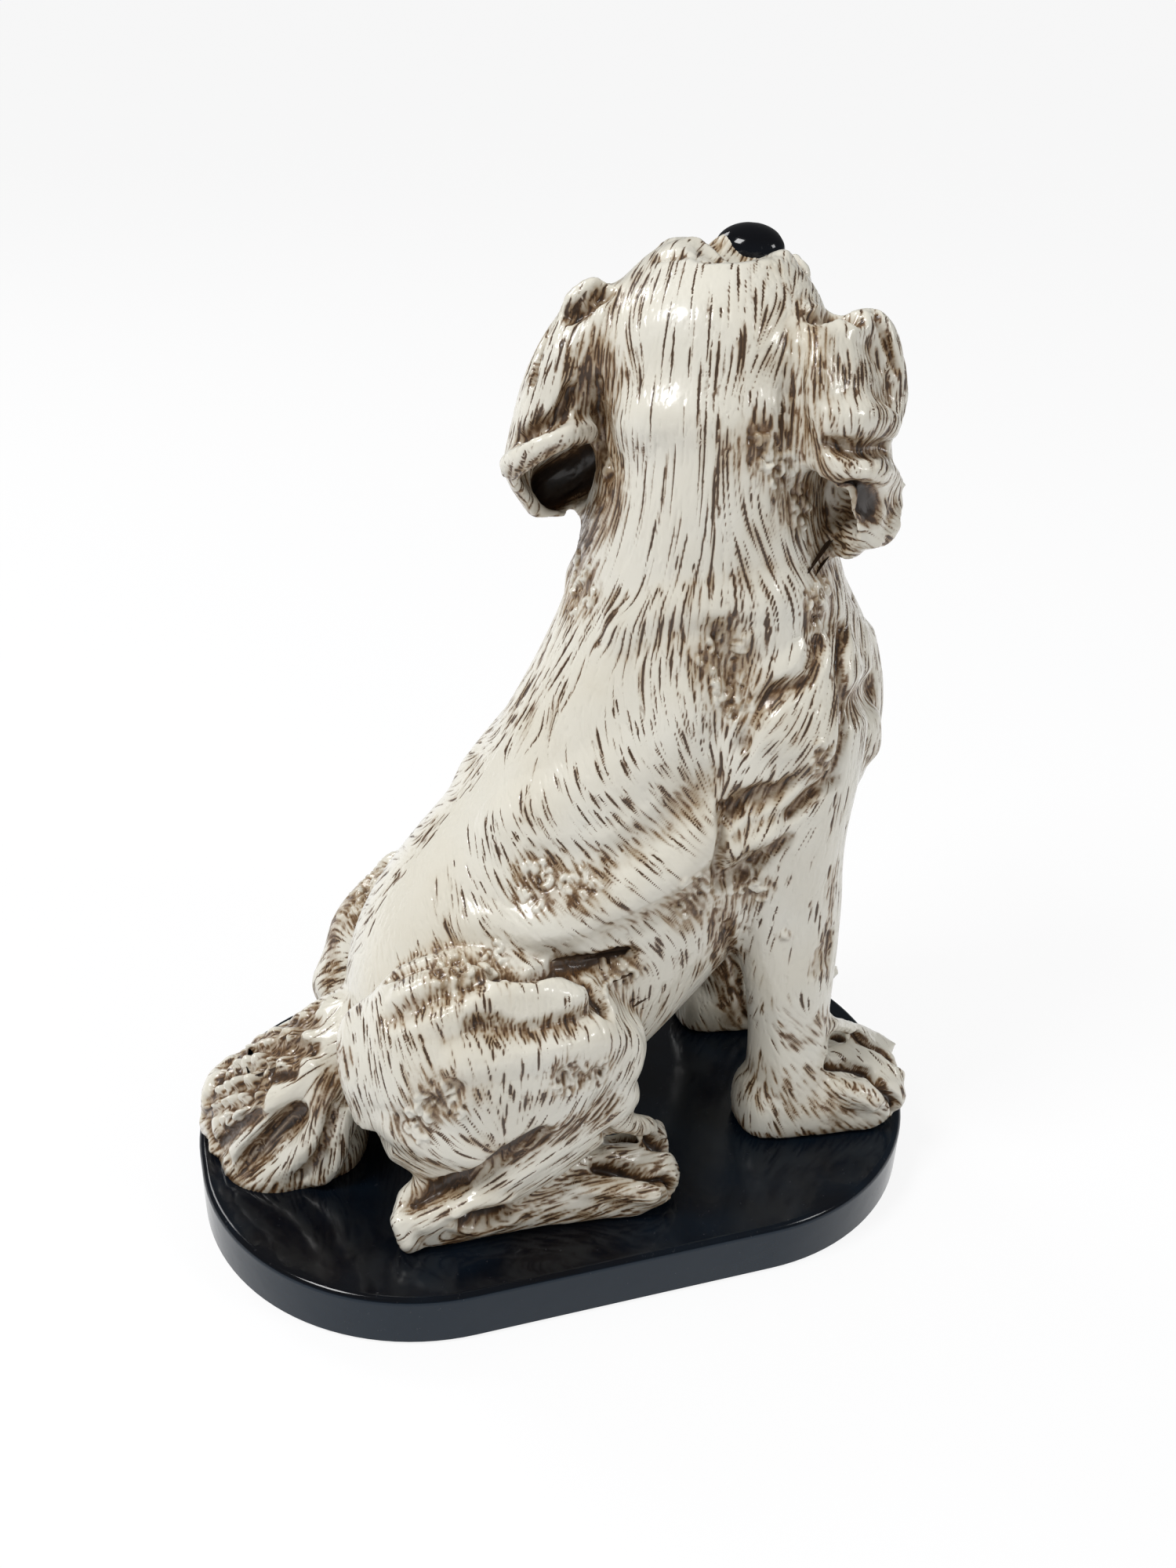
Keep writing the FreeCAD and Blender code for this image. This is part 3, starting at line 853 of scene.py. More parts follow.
# Bands where the joints of the clay are smoothed away: width and line
MELTS = (
    (17, ((770, 610), (820, 592), (880, 584), (930, 586), (990, 600)), SEEN),
    (10, ((800, 345), (850, 334), (930, 330), (1000, 338)), SEEN),
    (9, ((500, 1262), (520, 1240), (560, 1225), (620, 1222)), BODY),
    (10, ((700, 760), (780, 750), (880, 745), (1000, 735)), SEEN),
    (8, ((1062, 425), (1060, 480), (1060, 530)), SEEN),
    (7, ((846, 1434), (864, 1468), (862, 1508), (840, 1545)), BODY),
    (10, ((318, 1322), (292, 1352), (276, 1392), (262, 1440)), SEEN),
    (8, ((352, 1300), (334, 1330), (316, 1362), (300, 1396)), SEEN),
)

FOLDS = (
    # The shoulder, the upper arm and the chest
    Relief(5, -2.4, 0.75, ((1041, 823), (1031, 865), (989, 884), (961, 912), (948, 950))),
    Relief(5, -1.6, 0.6, ((912, 800), (925, 830), (940, 865), (945, 905))),
    Relief(4, -2.6, 0.95, ((1078, 800), (1074, 851), (1083, 896), (1076, 946), (1062, 992))),
    Relief(9, -3.0, 0.5, ((1118, 876), (1106, 888), (1092, 902))),
    Relief(8, 1.0, 0, ((1104, 812), (1107, 845))),
    Relief(9, 2.2, 0, ((1112, 925), (1114, 955))),
    Relief(10, -1.6, 0.3, ((1096, 760), (1084, 745))),
    Relief(4, -2.4, 0.9, ((1066, 995), (1034, 1014), (1008, 1040))),
    Relief(5, -3.2, 0.95, ((926, 1044), (946, 1022), (975, 1012))),
    Relief(4, -2.0, 0.9, ((960, 1030), (985, 1018), (1006, 1000))),
    Relief(6, 2.2, 0, ((936, 1084), (982, 1062))),
    Relief(5, -3.2, 0.95, ((928, 1122), (952, 1110), (968, 1098))),
    Relief(4, -1.8, 0.9, ((958, 1090), (980, 1088), (1004, 1072))),
    Relief(3, -3.0, 1.0, ((922, 1030), (917, 1080), (918, 1132))),
    Relief(15, 3.0, 0, ((985, 795), (1012, 832))),
    Relief(14, 2.6, 0, ((995, 925), (1036, 952))),
    Relief(10, 1.8, 0, ((790, 800), (850, 778), (930, 772), (1000, 752), (1040, 770))),
    Relief(14, 1.6, 0, ((860, 850), (880, 930), (900, 985))),
    # The ribs and the loin
    Relief(9, -1.8, 0.32, ((690, 1102), (780, 1098), (848, 1055), (900, 992))),
    Relief(14, 1.8, 0, ((640, 1050), (740, 1015), (830, 960), (880, 905))),
    Relief(12, 2.6, 0, ((690, 1180), (790, 1150), (860, 1112), (908, 1062))),
    Relief(8, -1.2, 0.2, ((700, 1215), (790, 1190), (870, 1150), (910, 1115))),
    Relief(10, 1.4, 0, ((600, 1180), (680, 1190), (740, 1200))),
    # The thigh and the haunch
    Relief(4, -1.6, 0.6, ((495, 1246), (540, 1228), (600, 1222), (660, 1232))),
    Relief(4, -3.4, 1.1, ((633, 1243), (676, 1246), (713, 1235), (749, 1254), (767, 1275), (775, 1290))),
    Relief(5, -3.2, 1.1, ((713, 1232), (760, 1230), (800, 1220))),
    Relief(6, 1.4, 0, ((509, 1268), (564, 1243), (610, 1240))),
    Relief(6, -2.0, 0.7, ((500, 1297), (560, 1275), (604, 1254))),
    Relief(8, 2.2, 0, ((560, 1298), (640, 1266), (700, 1260), (740, 1274))),
    Relief(6, -2.6, 0.7, ((606, 1306), (669, 1319), (727, 1305), (757, 1280))),
    Relief(9, 2.0, 0, ((590, 1358), (680, 1344), (764, 1325), (803, 1330))),
    Relief(5, -2.0, 0.9, ((722, 1374), (745, 1380), (765, 1372))),
    Relief(5, -1.6, 0.8, ((545, 1408), (568, 1416), (580, 1388))),
    Relief(11, 1.6, 0, ((505, 1445), (560, 1470), (600, 1480))),
    Relief(6, -3.6, 1.1, ((522, 1536), (580, 1508), (640, 1478), (690, 1450))),
    Relief(10, 0, 0.7, ((640, 1478), (720, 1440), (775, 1405))),
    Relief(4, 1.2, 0, ((578, 1562), (610, 1572), (654, 1556))),
    Relief(4, 1.2, 0, ((578, 1548), (606, 1534), (648, 1528))),
    Relief(5, -4.5, 1.5, ((594, 1557), (616, 1551), (638, 1545))),
    Relief(5, 1.6, 0, ((510, 1560), (520, 1585))),
    # Toes of the hind foot and the forepaw
    Relief(3.2, -4.0, 1.3, ((775, 1446), (815, 1452), (862, 1466)), BODY, True),
    Relief(3.4, -4.2, 1.3, ((760, 1487), (800, 1492), (856, 1504)), BODY, True),
    Relief(3.0, -3.4, 1.2, ((1061, 1319), (1096, 1323), (1123, 1335), (1147, 1354)), BODY, True),
    Relief(3.2, -4.0, 1.3, ((1055, 1356), (1088, 1360), (1111, 1371), (1128, 1388),
                            (1142, 1406)), BODY, True),
    Relief(2, 0, 1.2, ((1134, 1406), (1142, 1419))),
    Relief(2, 0, 1.2, ((1149, 1388), (1155, 1399))),
    Relief(22, 0, 0.5, ((600, 1590), (700, 1540), (830, 1515))),
    Relief(20, 0, 0.45, ((980, 1385), (1040, 1400), (1110, 1400))),
    # The tail's recesses and the gaps between its locks
    Relief(5, -2.0, 0.98, ((364, 1300), (401, 1302))),
    Relief(4, -2.0, 0.98, ((345, 1340), (370, 1336), (401, 1338))),
    Relief(4, -1.6, 1.1, ((334, 1376), (373, 1369))),
    Relief(4, -2.0, 1.1, ((276, 1464), (300, 1440), (330, 1424))),
    Relief(7, -2.5, 0.98, ((312, 1492), (335, 1466), (358, 1440), (382, 1418))),
    Relief(3, -1.6, 0.9, ((384, 1500), (408, 1472), (420, 1440), (428, 1410))),
    *[Relief(3, -1.9, 1.0, line) for line in (
        ((254, 1424), (288, 1412), (326, 1404)), ((258, 1404), (296, 1392), (334, 1384)),
        ((268, 1382), (300, 1368), (340, 1358)), ((280, 1358), (312, 1344), (352, 1334)),
        ((294, 1332), (326, 1320), (364, 1312)))],
    *[Relief(4, 1.0, 0, line) for line in (
        ((262, 1412), (296, 1400), (328, 1394)), ((270, 1392), (300, 1380), (336, 1370)),
        ((284, 1366), (308, 1354), (344, 1346)))],
    Relief(8, 0, 0.75, ((409, 1410), (425, 1378), (436, 1350))),
    # The foreleg
    Relief(12, 0, 0.42, ((990, 1290), (1020, 1320), (1050, 1300))),
    Relief(5, 0, 0.5, ((1062, 1110), (1056, 1180), (1052, 1240))),
    Relief(10, 0, 0.8, ((922, 1165), (925, 1240), (936, 1300))),
    Relief(3, -1.2, 1.0, ((926, 1180), (938, 1240), (948, 1300))),
    Relief(3, -1.2, 0.6, ((1060, 1190), (1056, 1228))),
    Relief(4, -1.0, 0.6, ((1046, 1215), (1040, 1240))),
    Relief(2.2, 1.0, 0.5, ((1000, 1192), (1003, 1195))),
    # The brow and the ears' roots
    Relief(4, -0.9, 0.5, ((845, 326), (874, 322)), SEEN),
    Relief(3.5, -0.9, 0.5, ((893, 326), (908, 328)), SEEN),
    Relief(15, -6.2, 0, ((925, 304), (965, 300), (1005, 308)), SEEN),
    Relief(4, -3.0, 0.8, ((770, 372), (747, 392), (728, 402)), SEEN),
    Relief(6, 1.8, 0, ((735, 380), (758, 366)), SEEN),
    Relief(3, -1.6, 1.0, ((762, 490), (766, 561), (777, 606)), SEEN),
    Relief(16, 0, 0.7, ((770, 470), (768, 560), (775, 640), (730, 705)), SEEN),
    Relief(14, 0, 0.55, ((1035, 560), (1045, 640), (1056, 720)), SEEN),
    Relief(2.2, -3.0, 1.2, ((697, 425), (686, 452), (678, 485)), SEEN),
    Relief(4, -2.6, 0.8, ((664, 562), (690, 548), (712, 535), (730, 500)), SEEN),
    Relief(6, 2.6, 0, ((650, 592), (690, 566), (725, 552), (752, 548)), SEEN),
    Relief(4, -3.5, 1.0, ((1040, 402), (1065, 396), (1094, 404)), SEEN),
    Relief(9, 0, 0.5, ((1040, 430), (1036, 500), (1040, 560)), SEEN),
    Relief(1.8, -2.0, 1.1, ((1118, 398), (1133, 439), (1144, 472)), SEEN),
    Relief(8, 2.2, 0, ((1070, 535), (1105, 528), (1135, 540)), SEEN),
    Relief(3.5, -2.6, 0.95, ((1059, 566), (1095, 574), (1133, 570)), SEEN),
    # The hollows under the ears' turned rims, whose wash_and_shade above 1 gives near-black painted shade
    Relief(10, -6.0, 1.4, ((705, 620), (735, 605), (752, 590)), SEEN),
    Relief(8, -3.0, 1.5, ((1088, 634), (1104, 642), (1118, 652)), SEEN),
)

# Where a form that is carried on goes from its last point, in millimetres: out and down over the toe
TOE_STEPS = ((1.5, 0, -4), (2.5, 0, -8), (2.5, 0, -13))


@dataclass(frozen=True)
class Lay:
    """One line along which the hair lies, from root to tip.

    Dense is the share of the skin that its hairs fill, and long their usual length in millimetres.
    """

    dense: float
    long: float
    line: tuple
    side: Side = Side.BODY


HAIR = (
    # From the brow over the crown and down the neck
    Lay(0.55, 22, ((900, 335), (890, 450), (885, 560), (880, 660), (862, 740), (838, 820)), SEEN),
    Lay(0.3, 16, ((860, 330), (835, 430), (825, 540), (820, 640), (800, 720), (770, 790)), SEEN),
    Lay(0.75, 24, ((950, 330), (955, 450), (950, 560), (955, 650), (985, 730)), SEEN),
    Lay(0.8, 24, ((1000, 345), (1020, 430), (1018, 520), (1012, 600), (1015, 680), (1045, 750)), SEEN),
    Lay(0.8, 18, ((820, 345), (790, 400), (778, 480), (775, 560), (778, 620), (745, 690),
                  (712, 730)), SEEN),
    Lay(0.6, 16, ((722, 700), (705, 760), (672, 840))),
    Lay(0.5, 16, ((770, 760), (730, 830), (690, 890))),
    # Over the shoulder towards the elbow
    Lay(0.7, 12, ((985, 730), (1000, 800), (985, 870), (950, 930), (925, 1000))),
    Lay(0.8, 12, ((1040, 760), (1045, 830), (1010, 900), (960, 960), (930, 1005))),
    Lay(0.75, 14, ((1066, 800), (1060, 900), (1020, 970))),
    Lay(0.55, 11, ((900, 760), (895, 850), (900, 930), (915, 990))),
    Lay(0.5, 11, ((850, 780), (845, 870), (865, 940), (900, 1010))),
    Lay(0.5, 10, ((800, 800), (790, 870), (810, 950), (860, 1020), (905, 1060))),
    # Over the ribs and the loin
    Lay(0.45, 9, ((750, 860), (745, 930), (775, 1000), (830, 1060), (890, 1100))),
    Lay(0.5, 8, ((700, 900), (700, 960), (730, 1040), (780, 1100), (840, 1150))),
    Lay(0.45, 8, ((640, 970), (650, 1030), (680, 1090), (730, 1160), (790, 1210))),
    Lay(0.4, 8, ((590, 1040), (600, 1100), (630, 1160), (680, 1210))),
    Lay(0.4, 9, ((530, 1110), (545, 1170), (560, 1210))),
    Lay(0.55, 9, ((480, 1180), (490, 1230), (500, 1290), (530, 1360))),
    Lay(0.45, 10, ((448, 1230), (445, 1300), (455, 1380), (485, 1450))),
    Lay(0.0, 9, ((790, 830), (700, 930), (600, 1030), (520, 1130), (452, 1240)), SEEN),
    # The two rows of bold strokes beside the spine
    *[Lay(0.9, 11, line) for line in (
        ((752, 820), (748, 875)), ((706, 895), (704, 945)), ((662, 965), (662, 1015)),
        ((614, 1035), (616, 1085)), ((568, 1100), (572, 1150)), ((520, 1180), (526, 1230)))],
    *[Lay(0.9, 8, line, SEEN) for line in (
        ((660, 900), (636, 935)), ((612, 970), (588, 1004)), ((562, 1045), (536, 1078)),
        ((512, 1115), (484, 1146)), ((480, 1165), (450, 1192)), ((460, 1215), (428, 1236)))],
    # The haunch, the shank and the hind foot
    Lay(0.6, 8, ((560, 1240), (565, 1290), (580, 1340), (600, 1400), (630, 1450))),
    Lay(0.65, 8, ((640, 1260), (650, 1310), (660, 1360), (655, 1420), (650, 1460))),
    Lay(0.65, 8, ((700, 1255), (710, 1300), (715, 1360), (695, 1420), (665, 1460))),
    Lay(0.6, 8, ((750, 1270), (765, 1310), (765, 1370), (735, 1430), (690, 1465))),
    Lay(0.4, 8, ((800, 1310), (805, 1350), (785, 1400), (740, 1450))),
    Lay(0.6, 10, ((500, 1300), (505, 1360), (530, 1420), (580, 1465), (630, 1475))),
    Lay(0.55, 10, ((460, 1330), (465, 1410), (490, 1470), (540, 1500))),
    Lay(0.6, 10, ((790, 1420), (720, 1470), (640, 1520), (570, 1555), (520, 1580))),
    Lay(0.6, 9, ((560, 1590), (640, 1575), (730, 1545), (800, 1520), (850, 1510))),
    # The foreleg and its paw
    Lay(0.6, 10, ((1050, 1000), (1010, 1060), (980, 1110), (965, 1170))),
    Lay(0.3, 9, ((1090, 960), (1075, 1040), (1060, 1120), (1052, 1200), (1045, 1280))),
    Lay(0.25, 7, ((1000, 1120), (970, 1200), (950, 1280))),
    Lay(0.3, 6, ((1010, 1300), (1060, 1340), (1110, 1390))),
    # The chest's edge
    Lay(0.6, 14, ((1095, 760), (1105, 830), (1110, 900), (1110, 960), (1095, 1000))),
    # The ears
    Lay(0.95, 16, ((745, 380), (722, 440), (708, 500), (694, 540), (672, 590), (664, 625)), SEEN),
    Lay(0.95, 14, ((765, 400), (757, 470), (752, 540), (735, 580), (700, 600)), SEEN),
    Lay(0.9, 14, ((715, 400), (692, 460), (674, 520), (660, 570)), SEEN),
    Lay(0.8, 12, ((1060, 415), (1060, 480), (1058, 540), (1066, 580), (1080, 600)), SEEN),
    Lay(0.8, 12, ((1095, 420), (1098, 480), (1096, 530), (1100, 560), (1108, 600)), SEEN),
    Lay(0.8, 12, ((1130, 440), (1140, 490), (1136, 540), (1128, 600)), SEEN),
    Lay(0.8, 10, ((1080, 660), (1110, 675), (1130, 690)), SEEN),
    # The tail
    Lay(0.5, 12, ((430, 1340), (360, 1380), (300, 1425), (262, 1475)), SEEN),
    Lay(0.7, 12, ((425, 1370), (405, 1420), (400, 1500)), SEEN),
    Lay(0.5, 12, ((370, 1410), (330, 1450), (290, 1495)), SEEN),
    Lay(0.4, 12, ((340, 1385), (295, 1395), (258, 1420)), SEEN),
)

# The face's forms: width, height, wash_and_shade, and points as forward, left and up of the head's middle,
# each worked on both cheeks
FACE = (
    # The lids, the creases beyond them and the brow
    (2.6, 1.8, 0, ((35.5, 11.5, 2), (34.5, 14, 9.5), (30.5, 17.5, 12.6), (25.5, 21, 9), (23.5, 22.5, 3.5))),
    (2.4, 1.4, 0, ((35.5, 11.5, 1.5), (34.5, 15, -1.8), (30.5, 19.5, -2.2), (25.5, 22.3, 1.5))),
    (2.2, -1.4, 0.95, ((36.5, 9.5, 8), (34, 13.5, 13.8), (28.5, 17.5, 16.2), (22.5, 21.5, 12))),
    (2.2, -1.2, 0.9, ((36, 14, -5), (30.5, 20, -6), (24, 23, -2))),
    (7, 1.8, 0, ((38, 8, 14), (32, 12, 19), (24, 17, 21))),
    # The stop, the mouth and the groove under the nose
    (7, -1.6, 0.3, ((37, 0, 10), (30, 0, 17))),
    (2.4, -2.2, 1.1, ((60, 0, -20), (58, 8, -23), (50, 15, -25), (38, 17.5, -25.5), (26, 20, -24),
                      (18, 24, -20))),
    (1.8, -1.3, 1.0, ((62, 0, -9), (61, 0, -15), (60, 0, -21))),
    # The lips, the furrow beside the bridge and the cheek
    (10, 2.2, 0, ((57, 8, -13), (47, 15, -16), (36, 17, -17))),
    (5, -1.3, 0.5, ((37, 9, 1), (45, 8.5, -1), (52, 9, -3))),
    (6, -1.4, 0.5, ((18, 25, -14), (10, 28, -6), (8, 28, 4))),
    # The pits of the whiskers
    (1.5, -0.9, 1.1, ((55, 12.5, -9), (54.6, 13, -9.2))),
    (1.5, -0.9, 1.1, ((51, 14.5, -8), (50.6, 14.6, -8.2))),
    (1.5, -0.9, 1.1, ((53, 14, -13), (52.6, 14.2, -13.2))),
    (1.5, -0.9, 1.1, ((48, 16, -13), (47.6, 16.1, -13.2))),
    (1.5, -0.9, 1.1, ((51, 15, -18), (50.6, 15.1, -18.2))),
    (1.5, -0.9, 1.1, ((45, 16.5, -18), (44.6, 16.6, -18.2))),
)

# Forms that the camera doesn't see, in millimetres, each worked on both flanks
HIDDEN_FOLDS = (
    # The breast's middle furrow, its locks and the elbows
    (5, -2.0, 0.8, ((104, 0, 180), (106, 0, 160), (104, 0, 140), (98, 0, 122))),
    (9, 2.2, 0, ((98, 10, 195), (106, 12, 170), (103, 11, 145), (96, 10, 125))),
    (5, -1.8, 0.8, ((96, 22, 190), (100, 24, 165), (98, 24, 142))),
    (4, -1.6, 0.8, ((100, 6, 128), (97, 14, 116), (90, 20, 108))),
    (5, -2.0, 0.9, ((86, 24, 150), (84, 20, 120), (82, 20, 90))),
    (6, -2.0, 0.8, ((40, 30, 62), (60, 26, 80), (74, 22, 98))),
)

# Lines of hair on the head as forward, left and up of its middle, each worked on both cheeks
HEAD_HAIR = (
    (0.35, 14, ((58, 0, 14), (45, 0, 20), (32, 0, 26), (15, 0, 33), (0, 0, 34))),
    (0.5, 12, ((55, 10, 8), (40, 15, 12), (25, 20, 18), (8, 24, 24), (-10, 22, 26), (-26, 16, 18))),
    (0.6, 14, ((50, 14, -2), (35, 18, -4), (20, 26, -2), (5, 30, -4), (-8, 30, -12), (-20, 26, -22))),
    (0.6, 14, ((48, 6, -14), (35, 10, -18), (18, 14, -24), (2, 16, -32), (-10, 16, -45))),
)

# Lines of hair that the camera doesn't see, in millimetres, each worked on both flanks
HIDDEN_HAIR = (
    (0.6, 18, ((88, 0, 205), (100, 0, 185), (106, 0, 165), (104, 0, 145), (98, 0, 128), (85, 0, 112))),
    (0.6, 16, ((95, 18, 195), (103, 20, 170), (101, 22, 145), (95, 24, 120))),
    (0.4, 12, ((80, 0, 105), (60, 0, 88), (40, 0, 70), (20, 0, 50))),
    (0.4, 10, ((-60, 0, 120), (-74, 8, 100), (-78, 10, 80))),
    (0.35, 9, ((88, 33, 180), (88, 33, 140), (85, 33, 100), (82, 33, 60))),
    (0.35, 9, ((65, 20, 150), (62, 20, 100), (60, 20, 60))),
)


@dataclass(frozen=True)
class Curls:
    """A cluster of small raised curls at a pixel, about wide millimetres across, that lie along way."""

    at: Pixel
    wide: float
    count: int
    side: Side = Side.BODY
    way: tuple = (0.3, -0.2, -1.0)
    stretch: float = 1.35


CURLS = (
    Curls((917, 836), 7, 5), Curls((936, 886), 7, 6), Curls((1046, 772), 7, 5),
    Curls((1052, 972), 5, 4), Curls((690, 1130), 8, 7), Curls((742, 1130), 6, 5),
    Curls((578, 1240), 7, 6), Curls((628, 1229), 7, 6), Curls((560, 1402), 8, 7),
    Curls((520, 1434), 6, 4), Curls((722, 1372), 6, 5), Curls((764, 1370), 5, 4),
    Curls((886, 1148), 8, 6), Curls((786, 1238), 7, 5), Curls((455, 1150), 9, 8, SEEN),
    Curls((735, 735), 8, 5), Curls((968, 572), 6, 5, SEEN), Curls((1000, 606), 5, 4, SEEN),
    Curls((1022, 645), 6, 5, SEEN), Curls((780, 600), 3, 3, SEEN), Curls((955, 1130), 6, 5),
    Curls((478, 1120), 6, 6, SEEN),
)


@dataclass(frozen=True)
class Hatch:
    """One kind of hair: how many are tried, where, and the ranges of length, half width and strength."""

    count: int
    gain: float
    wash_gain: float
    lengths: tuple
    widths: tuple
    powers: tuple


HATCHES = (
    Hatch(6000, 0.9, -0.3, (0.8, 1.5), (0.4, 0.58), (0.85, 1.0)),
    Hatch(42000, 1.0, 0.6, (0.9, 2.2), (0.29, 0.38), (0.4, 1.0)),
)


@dataclass
class DogSkin:
    """The dog's body as one skin over its solids, worked and then cut into its pieces.

    Lengths are in millimetres. Boldness scales the height of the forms that are seen. A node with fewer
    than whole_faces faces stays one piece, and others are cut into bands of at most band_faces, in halves.
    The arrays hold a value for each point of the skin: how much washed-in brown stays there together with
    painted shade (wash_and_shade), the way in which the hair lies (flow), how dense and long it is, how
    strongly a hair cuts it, and the tint round the hairs.
    """

    nodes: tuple
    clay_grid: float = 2.03
    boldness: float = 1.2
    melting: int = 45
    ground: float = 19.0
    ground_fade: float = 9.0
    lay_step: float = 4.0
    hair_pitch: float = 1.05
    hair_step: float = 0.9
    hair_depth: float = 0.3
    shortest_hair: int = 5
    strand_depth: float = 0.16
    stroke_step: float = 0.45
    stroke_reach: float = 1.1
    cap_depth: float = 1.6
    whole_faces: int = 85000
    band_faces: int = 150000
    seed: int = 7
    skin: Skin = field(init=False)
    hairs: list = field(init=False)
    wash_and_shade: np.ndarray = field(init=False)
    flow: np.ndarray = field(init=False)
    dense: np.ndarray = field(init=False)
    long: np.ndarray = field(init=False)
    hair: np.ndarray = field(init=False)
    tint: np.ndarray = field(init=False)

    def raise_clay(self) -> None:
        """Draws one even skin over copies of the solids."""
        obj = copy_of(self.nodes, "dog_clay")
        self._add_mounds(obj)
        self._add_rolls(obj)
        apply(obj, "REMESH", mode="VOXEL", voxel_size=self.clay_grid * MM, adaptivity=0.0)
        self.skin = Skin(obj)
        self.skin.relax(2)
        self._name_faces()

    @staticmethod
    def _add_mounds(obj: bpy.types.Object) -> None:
        """Joins the mounds to the copied solids, and draws the plume's near locks in towards its core.

        Args:
            obj: the joined copy of the solids.
        """
        fan_front, fan_top, fan_side, share = -70, 60, -10, 0.6
        for vertex in obj.data.vertices:
            x, y, z = vertex.co / MM
            if x < fan_front and z < fan_top and y < fan_side:
                vertex.co.y = (fan_side + (y - fan_side) * share) * MM
        for middle, sizes in MOUNDS:
            bpy.ops.mesh.primitive_uv_sphere_add(radius=MM, location=Vector(middle) * MM, scale=sizes)
            bpy.ops.object.transform_apply(location=True, rotation=True, scale=True)
            mound = bpy.context.object
            only(obj)
            mound.select_set(True)
            bpy.ops.object.join()

    @staticmethod
    def _add_rolls(obj: bpy.types.Object) -> None:
        """Joins rolls of clay to the copied solids: the ears' rims, the locks, the toes and the claws.

        Args:
            obj: the joined copy of the solids.
        """
        tree = BVHTree.FromObject(obj, bpy.context.evaluated_depsgraph_get())
        points = numbers_of(obj.data.vertices, "co", np.float32, 3)[::5] / MM
        eye = np.array(VIEW.place)
        rolls = []
        for roll in ROLLS:
            path = []
            for x, y, lift, radius in roll.path:
                way = VIEW.ray((x, y))
                where, normal, _, _ = tree.ray_cast(Vector(eye) * MM, Vector(way))
                if where is None:
                    _, along = closest_to_ray(points, eye, way)
                    path.append((eye + way * along, radius))
                else:
                    path.append((np.array(where) / MM + np.array(normal) * lift, radius))
            rolls.append(roll_of_clay(path))
            if roll.both:
                rolls.append(roll_of_clay([(point * (1.0, -1.0, 1.0), radius) for point, radius in path]))
        only(obj)
        for roll in rolls:
            roll.select_set(True)
        bpy.ops.object.join()

    def _name_faces(self) -> None:
        """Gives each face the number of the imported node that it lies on."""
        points, owners, polygons = [], [], []
        start = 0
        for number, node in enumerate(self.nodes):
            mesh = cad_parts[node].data
            points.append(numbers_of(mesh.vertices, "co", np.float32, 3) / MM)
            polygons.append(numbers_of(mesh.loops, "vertex_index", np.int32).reshape(-1, 3) + start)
            owners.extend([number] * len(polygons[-1]))
            start += len(mesh.vertices)
        tree = BVHTree.FromPolygons(np.concatenate(points).tolist(), np.concatenate(polygons).tolist())
        middles = self.skin.points[self.skin.faces].mean(axis=1)
        found = np.array([owners[tree.find_nearest(Vector(p))[2]] for p in middles], np.int32)
        self._even_out(found)

    def _even_out(self, found: np.ndarray) -> None:
        """Gives each face the node that most of its corners' faces have, so that the joints run evenly."""
        skin = self.skin
        for _ in range(3):
            votes = np.zeros((len(skin.points), len(self.nodes)))
            for corner in range(4):
                np.add.at(votes, (skin.faces[:, corner], found), 1.0)
            found = votes[skin.faces].sum(axis=1).argmax(axis=1)
        for _ in self.nodes:
            skin.obj.data.materials.append(None)
        skin.obj.data.polygons.foreach_set("material_index", found.astype(np.int32))

    def work_folds(self) -> None:
        """Presses the folds, muscles and hollows into the skin, lets the washed-in brown stay in them, and
        darkens the skin towards the plinth and, as painted shade, on faces that turn downward.
        """
        skin = self.skin
        skin.write()
        apply(skin.obj, "SUBSURF", levels=1, render_levels=1)
        skin.read()
        self.wash_and_shade = np.zeros(len(skin.points))
        self._melt_joints()
        self._press_seen()
        self._press_unseen()
        for cluster in CURLS:
            for line, _ in skin.laid((cluster.at,), cluster.side):
                near = skin.near(line, cluster.wide * 1.8)
                away = np.linalg.norm(skin.points[near] - line[0], axis=1) / (cluster.wide * 1.8)
                self._darken(near, 0.75 * np.clip(1.0 - away ** 2, 0.0, 1.0))
        skin.turn_normals()
        self._find_hollows()
        # Darker towards the plinth, and painted shade on faces that turn downward, both held in
        # wash_and_shade
        low = np.clip((self.ground + self.ground_fade - skin.points[:, 2]) / self.ground_fade, 0.0, 1.0)
        under = np.clip(-skin.normals[:, 2] - 0.1, 0.0, 1.0)
        self.wash_and_shade = np.maximum(self.wash_and_shade, np.maximum(low * 0.85, under * 0.8))

    def _darken(self, near: np.ndarray, wash_and_shade: np.ndarray) -> None:
        """Raises wash_and_shade, the washed-in brown with its painted shade, to at least that much at the
        points with those numbers.
        """
        self.wash_and_shade[near] = np.maximum(self.wash_and_shade[near], wash_and_shade)

    def _melt_joints(self) -> None:
        """Smooths the joints of the clay away along the bands that are listed for it."""
        skin = self.skin
        melted = skin.smoothed(skin.points, self.melting)
        for width, line, side in MELTS:
            for laid, _ in skin.laid(line, side):
                near = skin.near(laid, width)
                share = np.clip(1.5 - 1.5 * far_from(skin.points[near], laid) / width, 0.0, 1.0)[:, None]
                skin.points[near] += (melted[near] - skin.points[near]) * share
        skin.turn_normals()

    def _press_seen(self) -> None:
        """Presses the forms that are drawn in pixels of the photograph."""
        skin = self.skin
        for relief in FOLDS:
            for line, facing in skin.laid(relief.line, relief.side):
                if relief.carried_on:
                    below = stacked(skin.nearest(line[-1] + step) for step in TOE_STEPS)[0]
                    line = np.concatenate([line, below])
                near, share = skin.press(line, facing, relief.width, relief.height * self.boldness)
                if relief.wash_and_shade:
                    self._darken(near, np.clip(share * 1.3, 0.0, 1.0) * relief.wash_and_shade)
                else:
                    self.wash_and_shade[near] *= 1.0 - 0.7 * share

